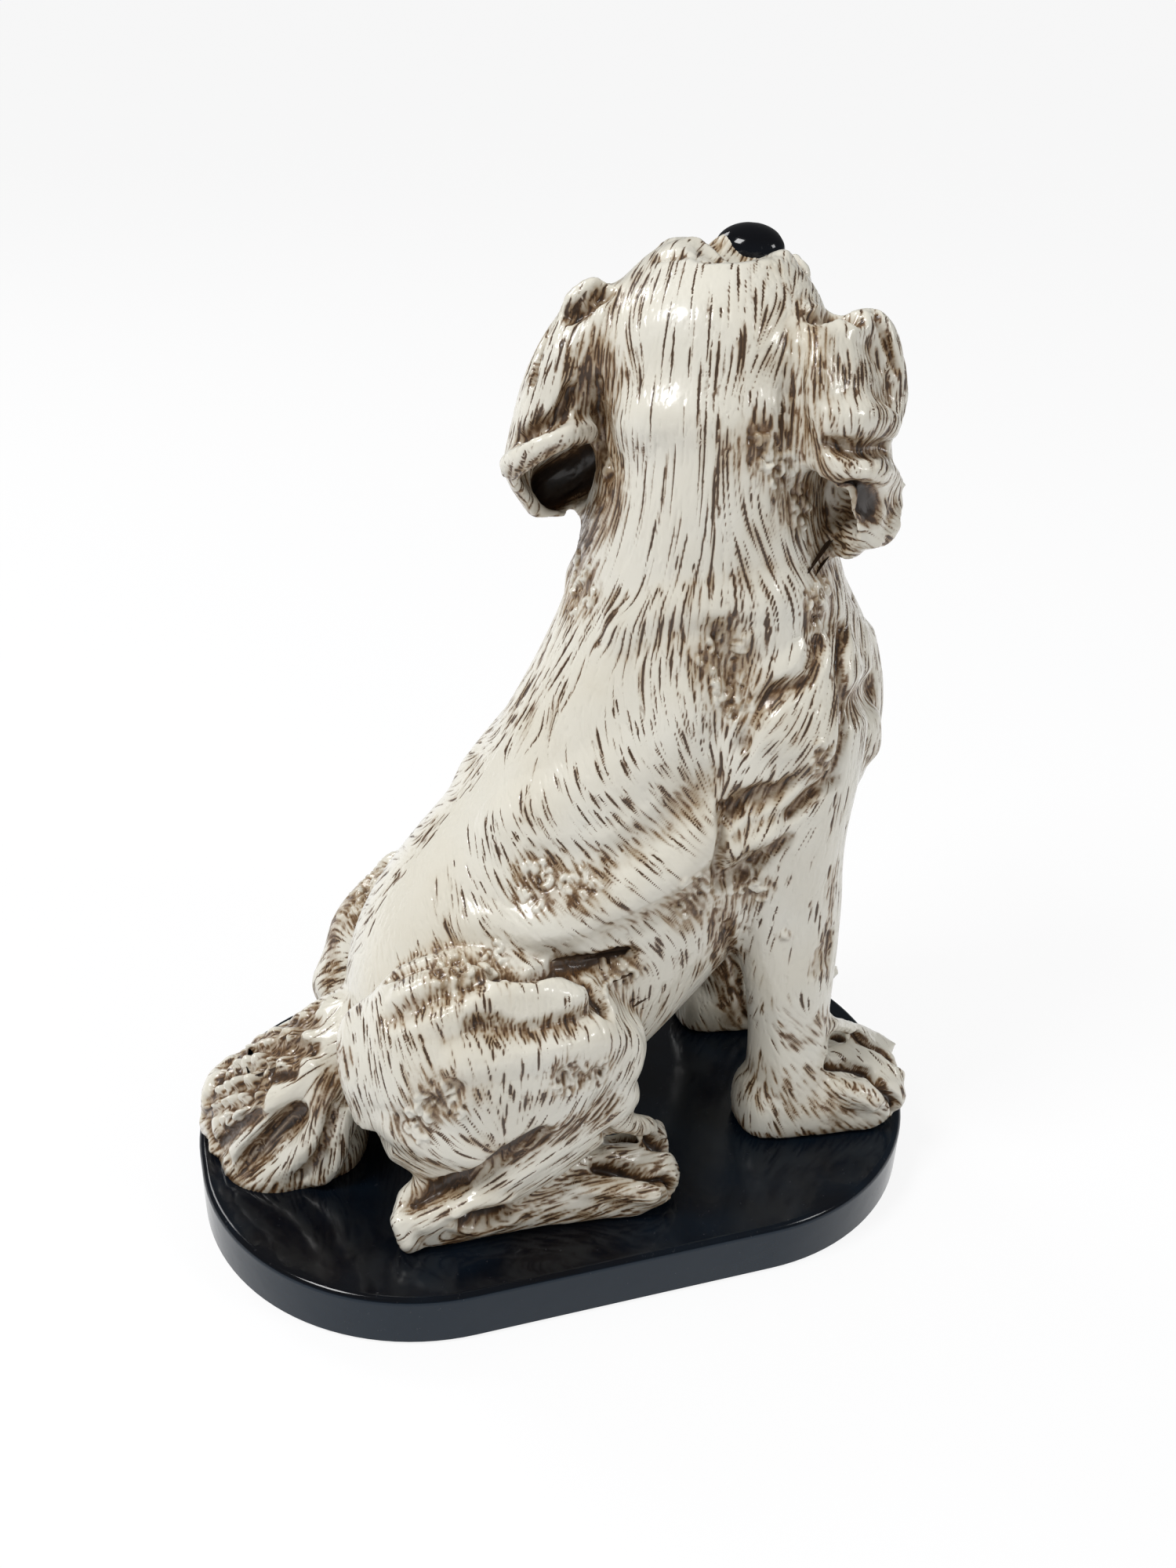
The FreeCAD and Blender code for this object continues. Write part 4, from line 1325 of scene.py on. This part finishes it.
    def _press_unseen(self) -> None:
        """Presses the forms that the camera doesn't see, on both sides of the figure."""
        for forms, on_head in ((FACE, True), (HIDDEN_FOLDS, False)):
            for width, height, wash_and_shade, places in forms:
                for side in both_sides(places, on_head):
                    line, facing = stacked(self.skin.nearest(place) for place in side)
                    near, share = self.skin.press(line, facing, width, height)
                    self._darken(near, np.clip(share * 1.3, 0.0, 1.0) * wash_and_shade)

    def _find_hollows(self) -> None:
        """Adds to wash_and_shade wherever the shape itself is hollow: washed-in brown in narrow places, then
        painted shade as well in wide ones.
        """
        skin = self.skin
        for times, gain in ((3, 5.0), (20, 1.5)):
            depth = ((skin.smoothed(skin.points, times) - skin.points) * skin.normals).sum(axis=1)
            self.wash_and_shade = np.maximum(self.wash_and_shade, np.clip(depth * gain, 0.0, 1.0))
        self.wash_and_shade = skin.evened(self.wash_and_shade, 2)

    def comb(self) -> None:
        """Works out at every point which way the hair lies, how dense and how long it is."""
        skin = self.skin
        lays = [self._sampled(line, lay.dense, lay.long)
                for lay in HAIR for line, _ in skin.laid(lay.line, lay.side)]
        lays += [self._sampled(line, dense, long)
                 for hairs, on_head in ((HEAD_HAIR, True), (HIDDEN_HAIR, False))
                 for dense, long, places in hairs for line in both_sides(places, on_head)]
        places, ways, facings, facts = (np.concatenate(part).astype(np.float32) for part in zip(*lays))
        flow = np.empty_like(skin.points)
        found = np.empty((len(skin.points), 2))
        lengths = (places ** 2).sum(axis=1)
        batch, least_weight, softness = 8000, 0.03, 6.0
        for start in range(0, len(skin.points), batch):
            part = slice(start, start + batch)
            here = skin.points[part].astype(np.float32)
            gap = (here ** 2).sum(axis=1)[:, None] + lengths - 2 * here @ places.T
            weight = np.clip(skin.normals[part].astype(np.float32) @ facings.T, least_weight, 1.0)
            weight /= (np.maximum(gap, 0.0) + softness) ** 2
            flow[part] = weight @ ways
            found[part] = weight @ facts / weight.sum(axis=1, keepdims=True)
        flow = skin.smoothed(unit(flow), 4)
        flow -= skin.normals * (flow * skin.normals).sum(axis=1, keepdims=True)
        self.flow = unit(flow)
        self.dense, self.long = found.T
        for width, keep, line, side in BARE:
            for laid, _ in skin.laid(line, side):
                near = skin.near(laid, width)
                share = np.clip(1.6 - 1.6 * far_from(skin.points[near], laid) / width, 0.0, 1.0)
                self.dense[near] *= 1.0 - (1.0 - keep) * share

    def _sampled(self, line: np.ndarray, dense: float, long: float) -> tuple:
        """One line of hair as samples on the skin.

        Args:
            line: its points.
            dense: the share of the skin that its hairs fill.
            long: their usual length.

        Returns:
            The samples' places, the ways that the hair lies and the skin faces there, and (dense, long).
        """
        line, facing = stacked(self.skin.nearest(point) for point in resampled(line, self.lay_step))
        return line, unit(np.gradient(line, axis=0)), facing, np.tile((dense, long), (len(line), 1))

    def draw_hairs(self) -> None:
        """Traces the hairs over the skin, bold ones first, each beside and clear of those before it."""
        skin = self.skin
        rng = np.random.default_rng(self.seed)
        area = np.linalg.norm(np.cross(
            skin.points[skin.faces[:, 2]] - skin.points[skin.faces[:, 0]],
            skin.points[skin.faces[:, 3]] - skin.points[skin.faces[:, 1]]), axis=1)
        tree = search_tree(skin.points)
        taken: set = set()
        self.hairs = []
        for hatch in HATCHES:
            seeds = skin.faces[rng.choice(len(area), hatch.count, p=area / area.sum()), 0]
            dense, wash_and_shade = self.dense[seeds], np.clip(self.wash_and_shade[seeds], 0.0, 1.0)
            chance = np.clip(hatch.gain * dense ** 2 + hatch.wash_gain * wash_and_shade, 0.0, 1.0)
            seeds = seeds[rng.random(len(seeds)) < chance]
            length = self.long[seeds] * rng.uniform(*hatch.lengths, len(seeds))
            trail, steps = self._traced(seeds, length, tree)
            self.hairs += self._thinned(trail, steps, hatch, taken, rng)
            LOG.info("%d hairs", len(self.hairs))

    def _traced(self, seeds: np.ndarray, length: np.ndarray, tree: KDTree) -> tuple[np.ndarray, np.ndarray]:
        """Walks from each seed along the hair's lay.

        Args:
            seeds: the points that the hairs start from.
            length: how far each one goes.
            tree: the skin's points.

        Returns:
            Each hair's points, and how many steps it takes.
        """
        skin = self.skin
        here, at, way = skin.points[seeds].copy(), seeds.copy(), self.flow[seeds]
        trail = [here.copy()]
        step = self.hair_step
        for number in range(int(length.max() / step)):
            going = length > (number + 1) * step
            way = unit(0.5 * way + 0.5 * self.flow[at])
            here = here + way * (step * going)[:, None]
            for k in np.flatnonzero(going):
                at[k] = tree.find(here[k])[1]
            off = ((here - skin.points[at]) * skin.normals[at]).sum(axis=1)
            here = here - skin.normals[at] * off[:, None]
            trail.append(here.copy())
        return np.stack(trail, 1), (length / step).astype(int)

    def _thinned(self, trail: np.ndarray, steps: np.ndarray, hatch: Hatch, taken: set,
                 rng: np.random.Generator) -> list:
        """Keeps the hairs that find room, cut short where they meet another.

        Args:
            trail: each hair's points.
            steps: how many of them it may use.
            hatch: the kind of hair.
            taken: the cells of space that hold a hair already, added to here.
            rng: the seeded random numbers.

        Returns:
            A list of (points, half width, strength) for the kept hairs.
        """
        kept = []
        cells = np.floor(trail / self.hair_pitch).astype(int)
        for hair, most in enumerate(steps):
            mine = [tuple(cell) for cell in cells[hair, : most + 1].tolist()]
            met = [cell in taken for cell in mine]
            free = next((k for k in range(len(met) - 1) if met[k] and met[k + 1]), len(met))
            if free < self.shortest_hair or met[0]:
                continue
            taken.update(mine[:free])
            kept.append((trail[hair, :free], rng.uniform(*hatch.widths), rng.uniform(*hatch.powers)))
        return kept

    def _strands(self) -> np.ndarray:
        """Works out fine lines along the hair's lay, as a number from 0 to 1 at every point.

        Returns:
            The numbers. Random values are averaged again and again with those up and down the lay.
        """
        skin = self.skin
        faces = skin.faces
        pairs = np.concatenate([faces[:, [j, k]] for j in range(4) for k in range(4) if j != k])
        here, there = pairs.T
        gap = skin.points[there] - skin.points[here]
        sharpness, passes, own = 14, 9, 0.25
        weight = np.abs((unit(gap) * self.flow[here]).sum(axis=1)) ** sharpness + 1e-6
        total = np.bincount(here, weight, len(skin.points))
        value = np.random.default_rng(self.seed + 2).random(len(skin.points)) - 0.5
        for _ in range(passes):
            around = np.bincount(here, weight * value[there], len(value))
            value = own * value + (1.0 - own) * around / total
        return np.clip(value / value.std() * 0.9 - 0.25, 0.0, 1.0)

    def incise(self) -> None:
        """Doubles the mesh once more, cuts the hairs into it, and stains them and the skin round them."""
        skin = self.skin
        self._double()
        strand = self._strands()
        self.hair = self._strokes()
        skin.points -= skin.normals * (self.hair * self.hair_depth + strand * self.strand_depth)[:, None]
        skin.turn_normals()
        passes = ((1, 2, 20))
        touching, beside, around = (skin.evened(self.hair, times) for times in passes)
        self.tint = np.clip(1.1 * beside + 1.6 * around ** 1.5, 0.0, 1.0)
        streaks = np.clip(0.5 + 1.7 * touching + 0.5 * strand, 0.0, 1.3)
        self.hair = np.maximum(self.hair, strand * np.clip(0.15 + 1.1 * around + 0.5 * self.wash_and_shade, 0.0, 0.75))
        self.wash_and_shade *= np.where(self.wash_and_shade < 1.0, streaks, 1.0)

    def _double(self) -> None:
        skin = self.skin
        skin.write()
        attributes = skin.obj.data.attributes
        wash_and_shade, flow = self.wash_and_shade.astype(np.float32), self.flow.astype(np.float32)
        attributes.new("wash_and_shade", "FLOAT", "POINT").data.foreach_set("value", wash_and_shade)
        attributes.new("flow", "FLOAT_VECTOR", "POINT").data.foreach_set("vector", flow.ravel())
        apply(skin.obj, "SUBSURF", levels=1, render_levels=1)
        skin.read()
        attributes = skin.obj.data.attributes
        self.wash_and_shade = numbers_of(attributes["wash_and_shade"].data, "value", np.float32).astype(np.float64)
        self.flow = unit(numbers_of(attributes["flow"].data, "vector", np.float32, 3).astype(np.float64))

    def _strokes(self) -> np.ndarray:
        """How strongly a hair cuts each point, from 0 to 1.

        Returns:
            The strengths, by the nearest sample of a hair and the distance from that hair's line.
        """
        skin = self.skin
        strokes = []
        for line, width, power in self.hairs:
            fine = resampled(line, self.stroke_step)
            share = np.linspace(0.0, 1.0, len(fine))
            taper = np.clip(np.minimum(share * 5.0, (1.0 - share) * 2.0), 0.0, 1.0)
            way = unit(np.gradient(fine, axis=0))
            strokes.append((fine, way, width * (0.4 + 0.6 * taper), power * (0.35 + 0.65 * taper)))
        samples, ways, reaches, powers = (np.concatenate(part) for part in zip(*strokes))
        tree = search_tree(samples)
        found = np.array([tree.find(point)[1:] for point in skin.points.tolist()])
        which = found[:, 0].astype(int)
        out = skin.points - samples[which]
        out -= ways[which] * (out * ways[which]).sum(axis=1, keepdims=True)
        across = np.linalg.norm(out, axis=1)
        strength = np.clip(1.0 - (across / reaches[which]) ** 2, 0.0, 1.0) * powers[which]
        return np.where(found[:, 1] < self.stroke_reach, strength, 0.0)

    def curl(self) -> None:
        """Raises the clusters of small curls, each with a dark hollow and pinholes round it."""
        skin = self.skin
        rng = np.random.default_rng(self.seed + 1)
        for cluster in CURLS:
            for line, facing in skin.laid((cluster.at,), cluster.side):
                self._curl_at(line[0], facing[0], cluster, rng)
        skin.turn_normals()

    def _curl_at(self, middle: np.ndarray, facing: np.ndarray, cluster: Curls,
                 rng: np.random.Generator) -> None:
        """Works one cluster of curls.

        Args:
            middle: where it is.
            facing: the way the skin faces there.
            cluster: its size and how many curls it has.
            rng: the seeded random numbers.
        """
        skin = self.skin
        wide = cluster.wide
        near = skin.near(middle[None], wide * 1.5)
        near = near[skin.normals[near] @ facing > 0.1]
        if not len(near):
            return
        start = skin.points[near].copy()
        along = unit(np.array(cluster.way)[None] - facing * (np.array(cluster.way) @ facing))[0]
        across = np.cross(facing, along)
        flat = start - facing * ((start - middle) @ facing)[:, None]
        spread = np.hypot((flat - middle) @ along / cluster.stretch, (flat - middle) @ across)
        moat = np.clip(1.25 - (spread / wide) ** 2 * 1.25, 0.0, 1.0)
        ridge, gap, pins = np.zeros((3, len(near)))
        for _ in range(cluster.count + 3):
            away = far_from(flat, self._arc(middle, along, across, cluster, rng))
            thick = rng.uniform(0.8, 1.4)
            ridge = np.maximum(ridge, rng.uniform(0.6, 1.0) * np.clip(1.0 - (away / thick) ** 2, 0.0, 1.0))
            beside = np.clip(1.0 - ((away - thick - 0.2) / 0.7) ** 2, 0.0, 1.0)
            gap = np.maximum(gap, rng.uniform(0.1, 0.75) * beside)
            down, aside = rng.uniform(-0.7, 0.7), rng.uniform(-0.7, 0.7)
            offset = flat - (middle + wide * down * 1.3 * along + wide * aside * across)
            long, broad = rng.uniform(0.9, 2.0), rng.uniform(0.6, 1.1)
            hole = np.hypot((offset @ along) / long, (offset @ across) / broad)
            pins = np.maximum(pins, np.clip(1.0 - hole ** 2, 0.0, 1.0))
        gap *= 1.0 - ridge
        pins *= 1.0 - 0.8 * ridge
        lift = self.hair_depth * self.hair[near] * moat - 0.35 * moat
        lift += 0.9 * ridge - 0.3 * gap * moat - 0.7 * pins
        skin.points[near] = start + skin.normals[near] * lift[:, None]
        keep = 1.0 - ridge * 0.9
        self.wash_and_shade[near] *= keep
        self._darken(near, np.clip(np.maximum(gap * np.sqrt(moat), pins), 0.0, 1.0))
        self.hair[near] *= (1.0 - moat * 0.7) * keep

    @staticmethod
    def _arc(middle: np.ndarray, along: np.ndarray, across: np.ndarray, cluster: Curls,
             rng: np.random.Generator) -> np.ndarray:
        """Draws one curl of a cluster: an arc that tightens towards its end.

        Args:
            middle: the cluster's middle.
            along: the way in which the cluster is stretched.
            across: the way square to it on the skin.
            cluster: its size and stretch.
            rng: the seeded random numbers.

        Returns:
            The arc's points.
        """
        angle = rng.uniform(0, 2 * math.pi)
        reach = cluster.wide * math.sqrt(rng.uniform(0.02, 0.6))
        centre = middle + reach * (cluster.stretch * math.cos(angle) * along + math.sin(angle) * across)
        size = rng.uniform(1.1, 2.4)
        turn = rng.uniform(-0.9, 0.9) + math.pi * (rng.random() < 0.5)
        sweep = rng.uniform(0.9, 2.3) * rng.choice((-1, 1))
        return np.array([
            centre + size * (1.2 - 0.5 * share) * (math.cos(turn + sweep * share) * along
                                                   + math.sin(turn + sweep * share) * across)
            for share in np.linspace(0.0, 1.0, 6)
        ])

    def cut(self, finish: bpy.types.Material) -> list[bpy.types.Object]:
        """Cuts the skin into one closed piece for each node.

        Args:
            finish: the material of all of them.

        Returns:
            The pieces.
        """
        skin = self.skin
        owner = numbers_of(skin.obj.data.polygons, "material_index", np.int32)
        pieces = []
        middles = skin.points[skin.faces].mean(axis=1)
        for number, node in enumerate(self.nodes):
            for part, inside in self._parts(node, middles, owner == number):
                pieces.append(self._piece(node, part, skin.faces[inside], finish))
        bpy.data.objects.remove(skin.obj)
        return pieces

    def _parts(self, node: str, middles: np.ndarray, mine: np.ndarray) -> list[tuple[str, np.ndarray]]:
        """The pieces that one node's skin is cut into, with the faces that each takes.

        Args:
            node: the node.
            middles: the middle of every face.
            mine: which faces are the node's.

        Returns:
            Names and masks. A node with many faces is cut over the body's middle and across its length.
        """
        if mine.sum() < self.whole_faces:
            return [(node, mine)]
        along = middles @ (0.6, 0.0, 0.8)
        bands = max(1, math.ceil(mine.sum() / self.band_faces))
        edges = np.quantile(along[mine], np.linspace(0, 1, bands + 1)[1:-1])
        band = np.digitize(along, edges)
        left = middles[:, 1] > np.median(middles[mine, 1])
        names = ("low", "middle", "high", "top", "upmost", "last")
        return [
            (f"{node}_{names[number]}_{side}", mine & half & (band == number))
            for number in range(bands)
            for side, half in (("left", left), ("right", ~left))
        ]

    def _piece(self, node: str, part: str, faces: np.ndarray,
               finish: bpy.types.Material) -> bpy.types.Object:
        """Makes one closed piece of some of the skin's faces.

        Args:
            node: the node that it stands for.
            part: the piece's own name.
            faces: its faces.
            finish: its material.

        Returns:
            The piece.
        """
        skin = self.skin
        used, local = np.unique(faces, return_inverse=True)
        local = local.reshape(-1, 4)
        points = skin.points[used]
        normals = skin.normals[used]
        caps, cap_points = self._caps(local, points, normals)
        count = len(points)
        points = np.concatenate([points, cap_points])
        normals = np.concatenate([normals, np.tile((0.0, 0.0, 1.0), (len(cap_points), 1))])
        mesh = bpy.data.meshes.new(f"dog_{part}")
        mesh.vertices.add(len(points))
        mesh.vertices.foreach_set("co", (points * MM).astype(np.float32).ravel())
        corners = np.concatenate([local.ravel(), caps.ravel()]).astype(np.int32)
        sizes = np.concatenate([np.full(len(local), 4), np.full(len(caps), 3)])
        starts = np.concatenate([[0], np.cumsum(sizes)[:-1]]).astype(np.int32)
        mesh.loops.add(len(corners))
        mesh.loops.foreach_set("vertex_index", corners)
        mesh.polygons.add(len(sizes))
        mesh.polygons.foreach_set("loop_start", starts)
        mesh.update(calc_edges=True)
        mesh.validate()
        for name, values in (("wash_and_shade", self.wash_and_shade), ("hair", self.hair), ("tint", self.tint)):
            layer = mesh.attributes.new(name, "FLOAT", "POINT")
            here = np.ones(len(points), np.float32)
            here[:count] = values[used]
            layer.data.foreach_set("value", here)
        mesh.shade_smooth()
        mesh.normals_split_custom_set_from_vertices(normals)
        mesh.materials.append(finish)
        obj = linked(f"dog_{part}", mesh)
        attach(obj, "root")
        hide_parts(node)
        return obj

    def _caps(self, faces: np.ndarray, points: np.ndarray,
              normals: np.ndarray) -> tuple[np.ndarray, np.ndarray]:
        """Closes every open edge loop of a piece with a wall into the body and a floor of triangles.

        Args:
            faces: the piece's four-sided faces.
            points: its points.
            normals: the way that the skin faces at each of them.

        Returns:
            The triangles and the points that they add.
        """
        sides = np.concatenate([faces[:, [k, (k + 1) % 4]] for k in range(4)]).astype(np.int64)
        count = len(points)
        alone = ~np.isin(sides[:, 1] * count + sides[:, 0], sides[:, 0] * count + sides[:, 1])
        triangles, added = [], []
        for loop in self._loops(sides[alone].tolist()):
            if len(loop) < 3:
                continue
            sunk = points[loop] - normals[loop] * self.cap_depth
            first = len(points) + len(added)
            added += [*sunk]
            for k, (a, b) in enumerate(zip(loop, loop[1:] + loop[:1])):
                c, d = first + (k + 1) % len(loop), first + k
                triangles += [(a, b, c), (a, c, d)]
            floor = tessellate_polygon([[Vector(point) for point in sunk]])
            triangles += [(first + c, first + b, first + a) for a, b, c in floor]
        return np.array(triangles, int).reshape(-1, 3), np.array(added, float).reshape(-1, 3)

    @staticmethod
    def _loops(edges: Iterable[Sequence[int]]) -> list[list[int]]:
        """Joins open edges to loops, against the way that they run, so that no loop meets itself.

        Args:
            edges: the two points of each edge.

        Returns:
            The points of each loop.
        """
        after: dict = {}
        for a, b in edges:
            after.setdefault(b, []).append(a)
        loops = []
        while after:
            start = min(after)
            loop, places = [start], {start: 0}
            while True:
                ends = after.get(loop[-1])
                if not ends:
                    break
                following = ends.pop()
                if not ends:
                    del after[loop[-1]]
                if following == start:
                    break
                if following in places:
                    loops.append(loop[places[following]:])
                    for point in loops[-1][1:]:
                        del places[point]
                    loop = loop[: places[following] + 1]
                    continue
                places[following] = len(loop)
                loop.append(following)
            loops.append(loop)
        return loops

    def build(self, finish: bpy.types.Material) -> list[bpy.types.Object]:
        """Makes the whole body.

        Args:
            finish: its material.

        Returns:
            The pieces.
        """
        for work in (self.raise_clay, self.work_folds, self.comb, self.draw_hairs, self.incise, self.curl):
            work()
            LOG.info("%s: %d points", work.__name__, len(self.skin.points))
        return self.cut(finish)


@dataclass
class Studio:
    """A pale floor, soft lamps and a plain sky, in metres."""

    floor_half: float = 60.0
    sky: float = 0.42
    mirrored_sky: float = 0.16
    backdrop: float = 0.93
    aim: tuple = (0.0, 0.0, 0.15)

    def build(self) -> None:
        """Adds the floor, the lamps and the sky."""
        bpy.ops.object.select_all(action="DESELECT")
        bpy.ops.mesh.primitive_plane_add(size=2 * self.floor_half, location=(0.0, 0.0, 0.0))
        floor = bpy.context.object
        floor.name = "floor"
        floor.data.materials.append(PaleFloor().material())
        self._lamp("key", (-0.8, -0.2, 1.3), 0.4, 11.5)
        self._lamp("window", (0.9, -0.8, 1.0), 0.3, 4.0)
        self._lamp("back", (-0.6, 1.1, 1.2), 0.4, 5.0)
        n = Nodes(bpy.data.worlds.new("sky"))
        plain, mirrored, backdrop = (
            n.make("Background", {"Color": WHITE, "Strength": strength})
            for strength in (self.sky, self.mirrored_sky, self.backdrop))
        lit = n.mixed(n.seen_by("Glossy"), plain, mirrored)
        bpy.context.scene.world = n.end(n.mixed(n.seen_by("Camera"), lit, backdrop), "World")

    def _lamp(self, name: str, place: Sequence[float], size: float, power: float) -> None:
        """Adds one square soft lamp that looks at the figure's middle."""
        data = bpy.data.lights.new(name, "AREA")
        data.size = size
        data.energy = power
        lamp = linked(name, data)
        lamp.location = place
        way = Vector(self.aim) - Vector(place)
        lamp.rotation_euler = way.to_track_quat("-Z", "Y").to_euler()


@dataclass(frozen=True)
class Nose:
    """The black nose, forward, left and up of its own middle: half its sizes, and its hollows."""

    moved: tuple = (-1.0, 1.5, -2.9)
    half: tuple = (8.2, 10.8, 7.0)
    nostrils: tuple = ((7.2, 4.2, -0.5), (6.6, 6.6, 0.6), (4.0, 9.0, 0.6))
    nostril_width: float = 3.2
    nostril_depth: float = -3.0
    cleft: tuple = ((6.0, 0.0, 5.0), (8.2, 0.0, 0.0), (6.5, 0.0, -5.0))
    cleft_width: float = 1.8
    cleft_depth: float = -1.1

    def place(self, local: Sequence[float]) -> np.ndarray:
        """A place given as forward, left and up of the nose's middle."""
        low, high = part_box("nose")
        return np.array((low + high) / 2) / MM + (np.array(self.moved) + np.array(local)) @ HEAD.axes()

    def build(self, finish: bpy.types.Material) -> bpy.types.Object:
        """Makes the nose.

        Args:
            finish: its material.

        Returns:
            The nose.
        """
        bpy.ops.object.select_all(action="DESELECT")
        bpy.ops.mesh.primitive_cube_add(size=2 * MM)
        obj = bpy.context.object
        obj.name = "dog_nose"
        apply(obj, "SUBSURF", levels=6, render_levels=6)
        skin = Skin(obj)
        skin.points /= np.linalg.norm(skin.points, axis=1, keepdims=True)
        skin.points = self.place(skin.points * np.array(self.half))
        skin.turn_normals()
        cleft = self.place(self.cleft)
        skin.press(cleft, HEAD.axes()[:1], self.cleft_width, self.cleft_depth)
        for side in SIDES:
            line = self.place(np.array(self.nostrils) * (1.0, side, 1.0))
            facing = HEAD.axes()[:1] + HEAD.axes()[1:2] * 0.5 * side
            skin.press(line, facing, self.nostril_width, self.nostril_depth)
        skin.write()
        obj.data.shade_smooth()
        obj.data.materials.append(finish)
        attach(obj, "root")
        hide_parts("nose")
        return obj


def dress_cad() -> None:
    """Gives the plinth and the eyes their finishes."""
    finishes = {"plinth": BlackGlaze().material()}
    forward, left, up = HEAD.axes()
    eye = EyeGlaze()
    ahead, outward, upward = eye.gaze
    for node, side in zip(("left_eye", "right_eye"), SIDES):
        low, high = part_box(node)
        middle = (low + high) / 2
        radius = (high - low).x / 2
        gaze = Vector(forward * ahead + left * outward * side + up * upward).normalized()
        finishes[node] = eye.material(f"{node}_glaze", middle + gaze * radius)
    for node, finish in finishes.items():
        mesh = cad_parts[node].data
        mesh.materials.clear()
        mesh.materials.append(finish)


def main() -> None:
    """Builds the figure, its finishes and the studio in order."""
    logging.basicConfig(level=logging.INFO, format="%(relativeCreated)d %(name)s: %(message)s")
    plain = ("plinth", "nose", "left_eye", "right_eye")
    nodes = tuple(sorted(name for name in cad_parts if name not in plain))
    dress_cad()
    # The nose's sides are painted bluer as well: painted reflection
    Nose().build(BlackGlaze("nose_glaze", blue_cast_and_reflection=colour(15, 18, 24), gloss=0.08).material())
    dog = DogSkin(nodes)
    for piece in dog.build(IvoryGlaze().material()):
        LOG.info("%s: %d faces", piece.name, len(piece.data.polygons))
    Studio().build()
    VIEW.add_camera()
    bpy.context.scene.view_settings.view_transform = "Standard"


if __name__ == "__main__":
    main()
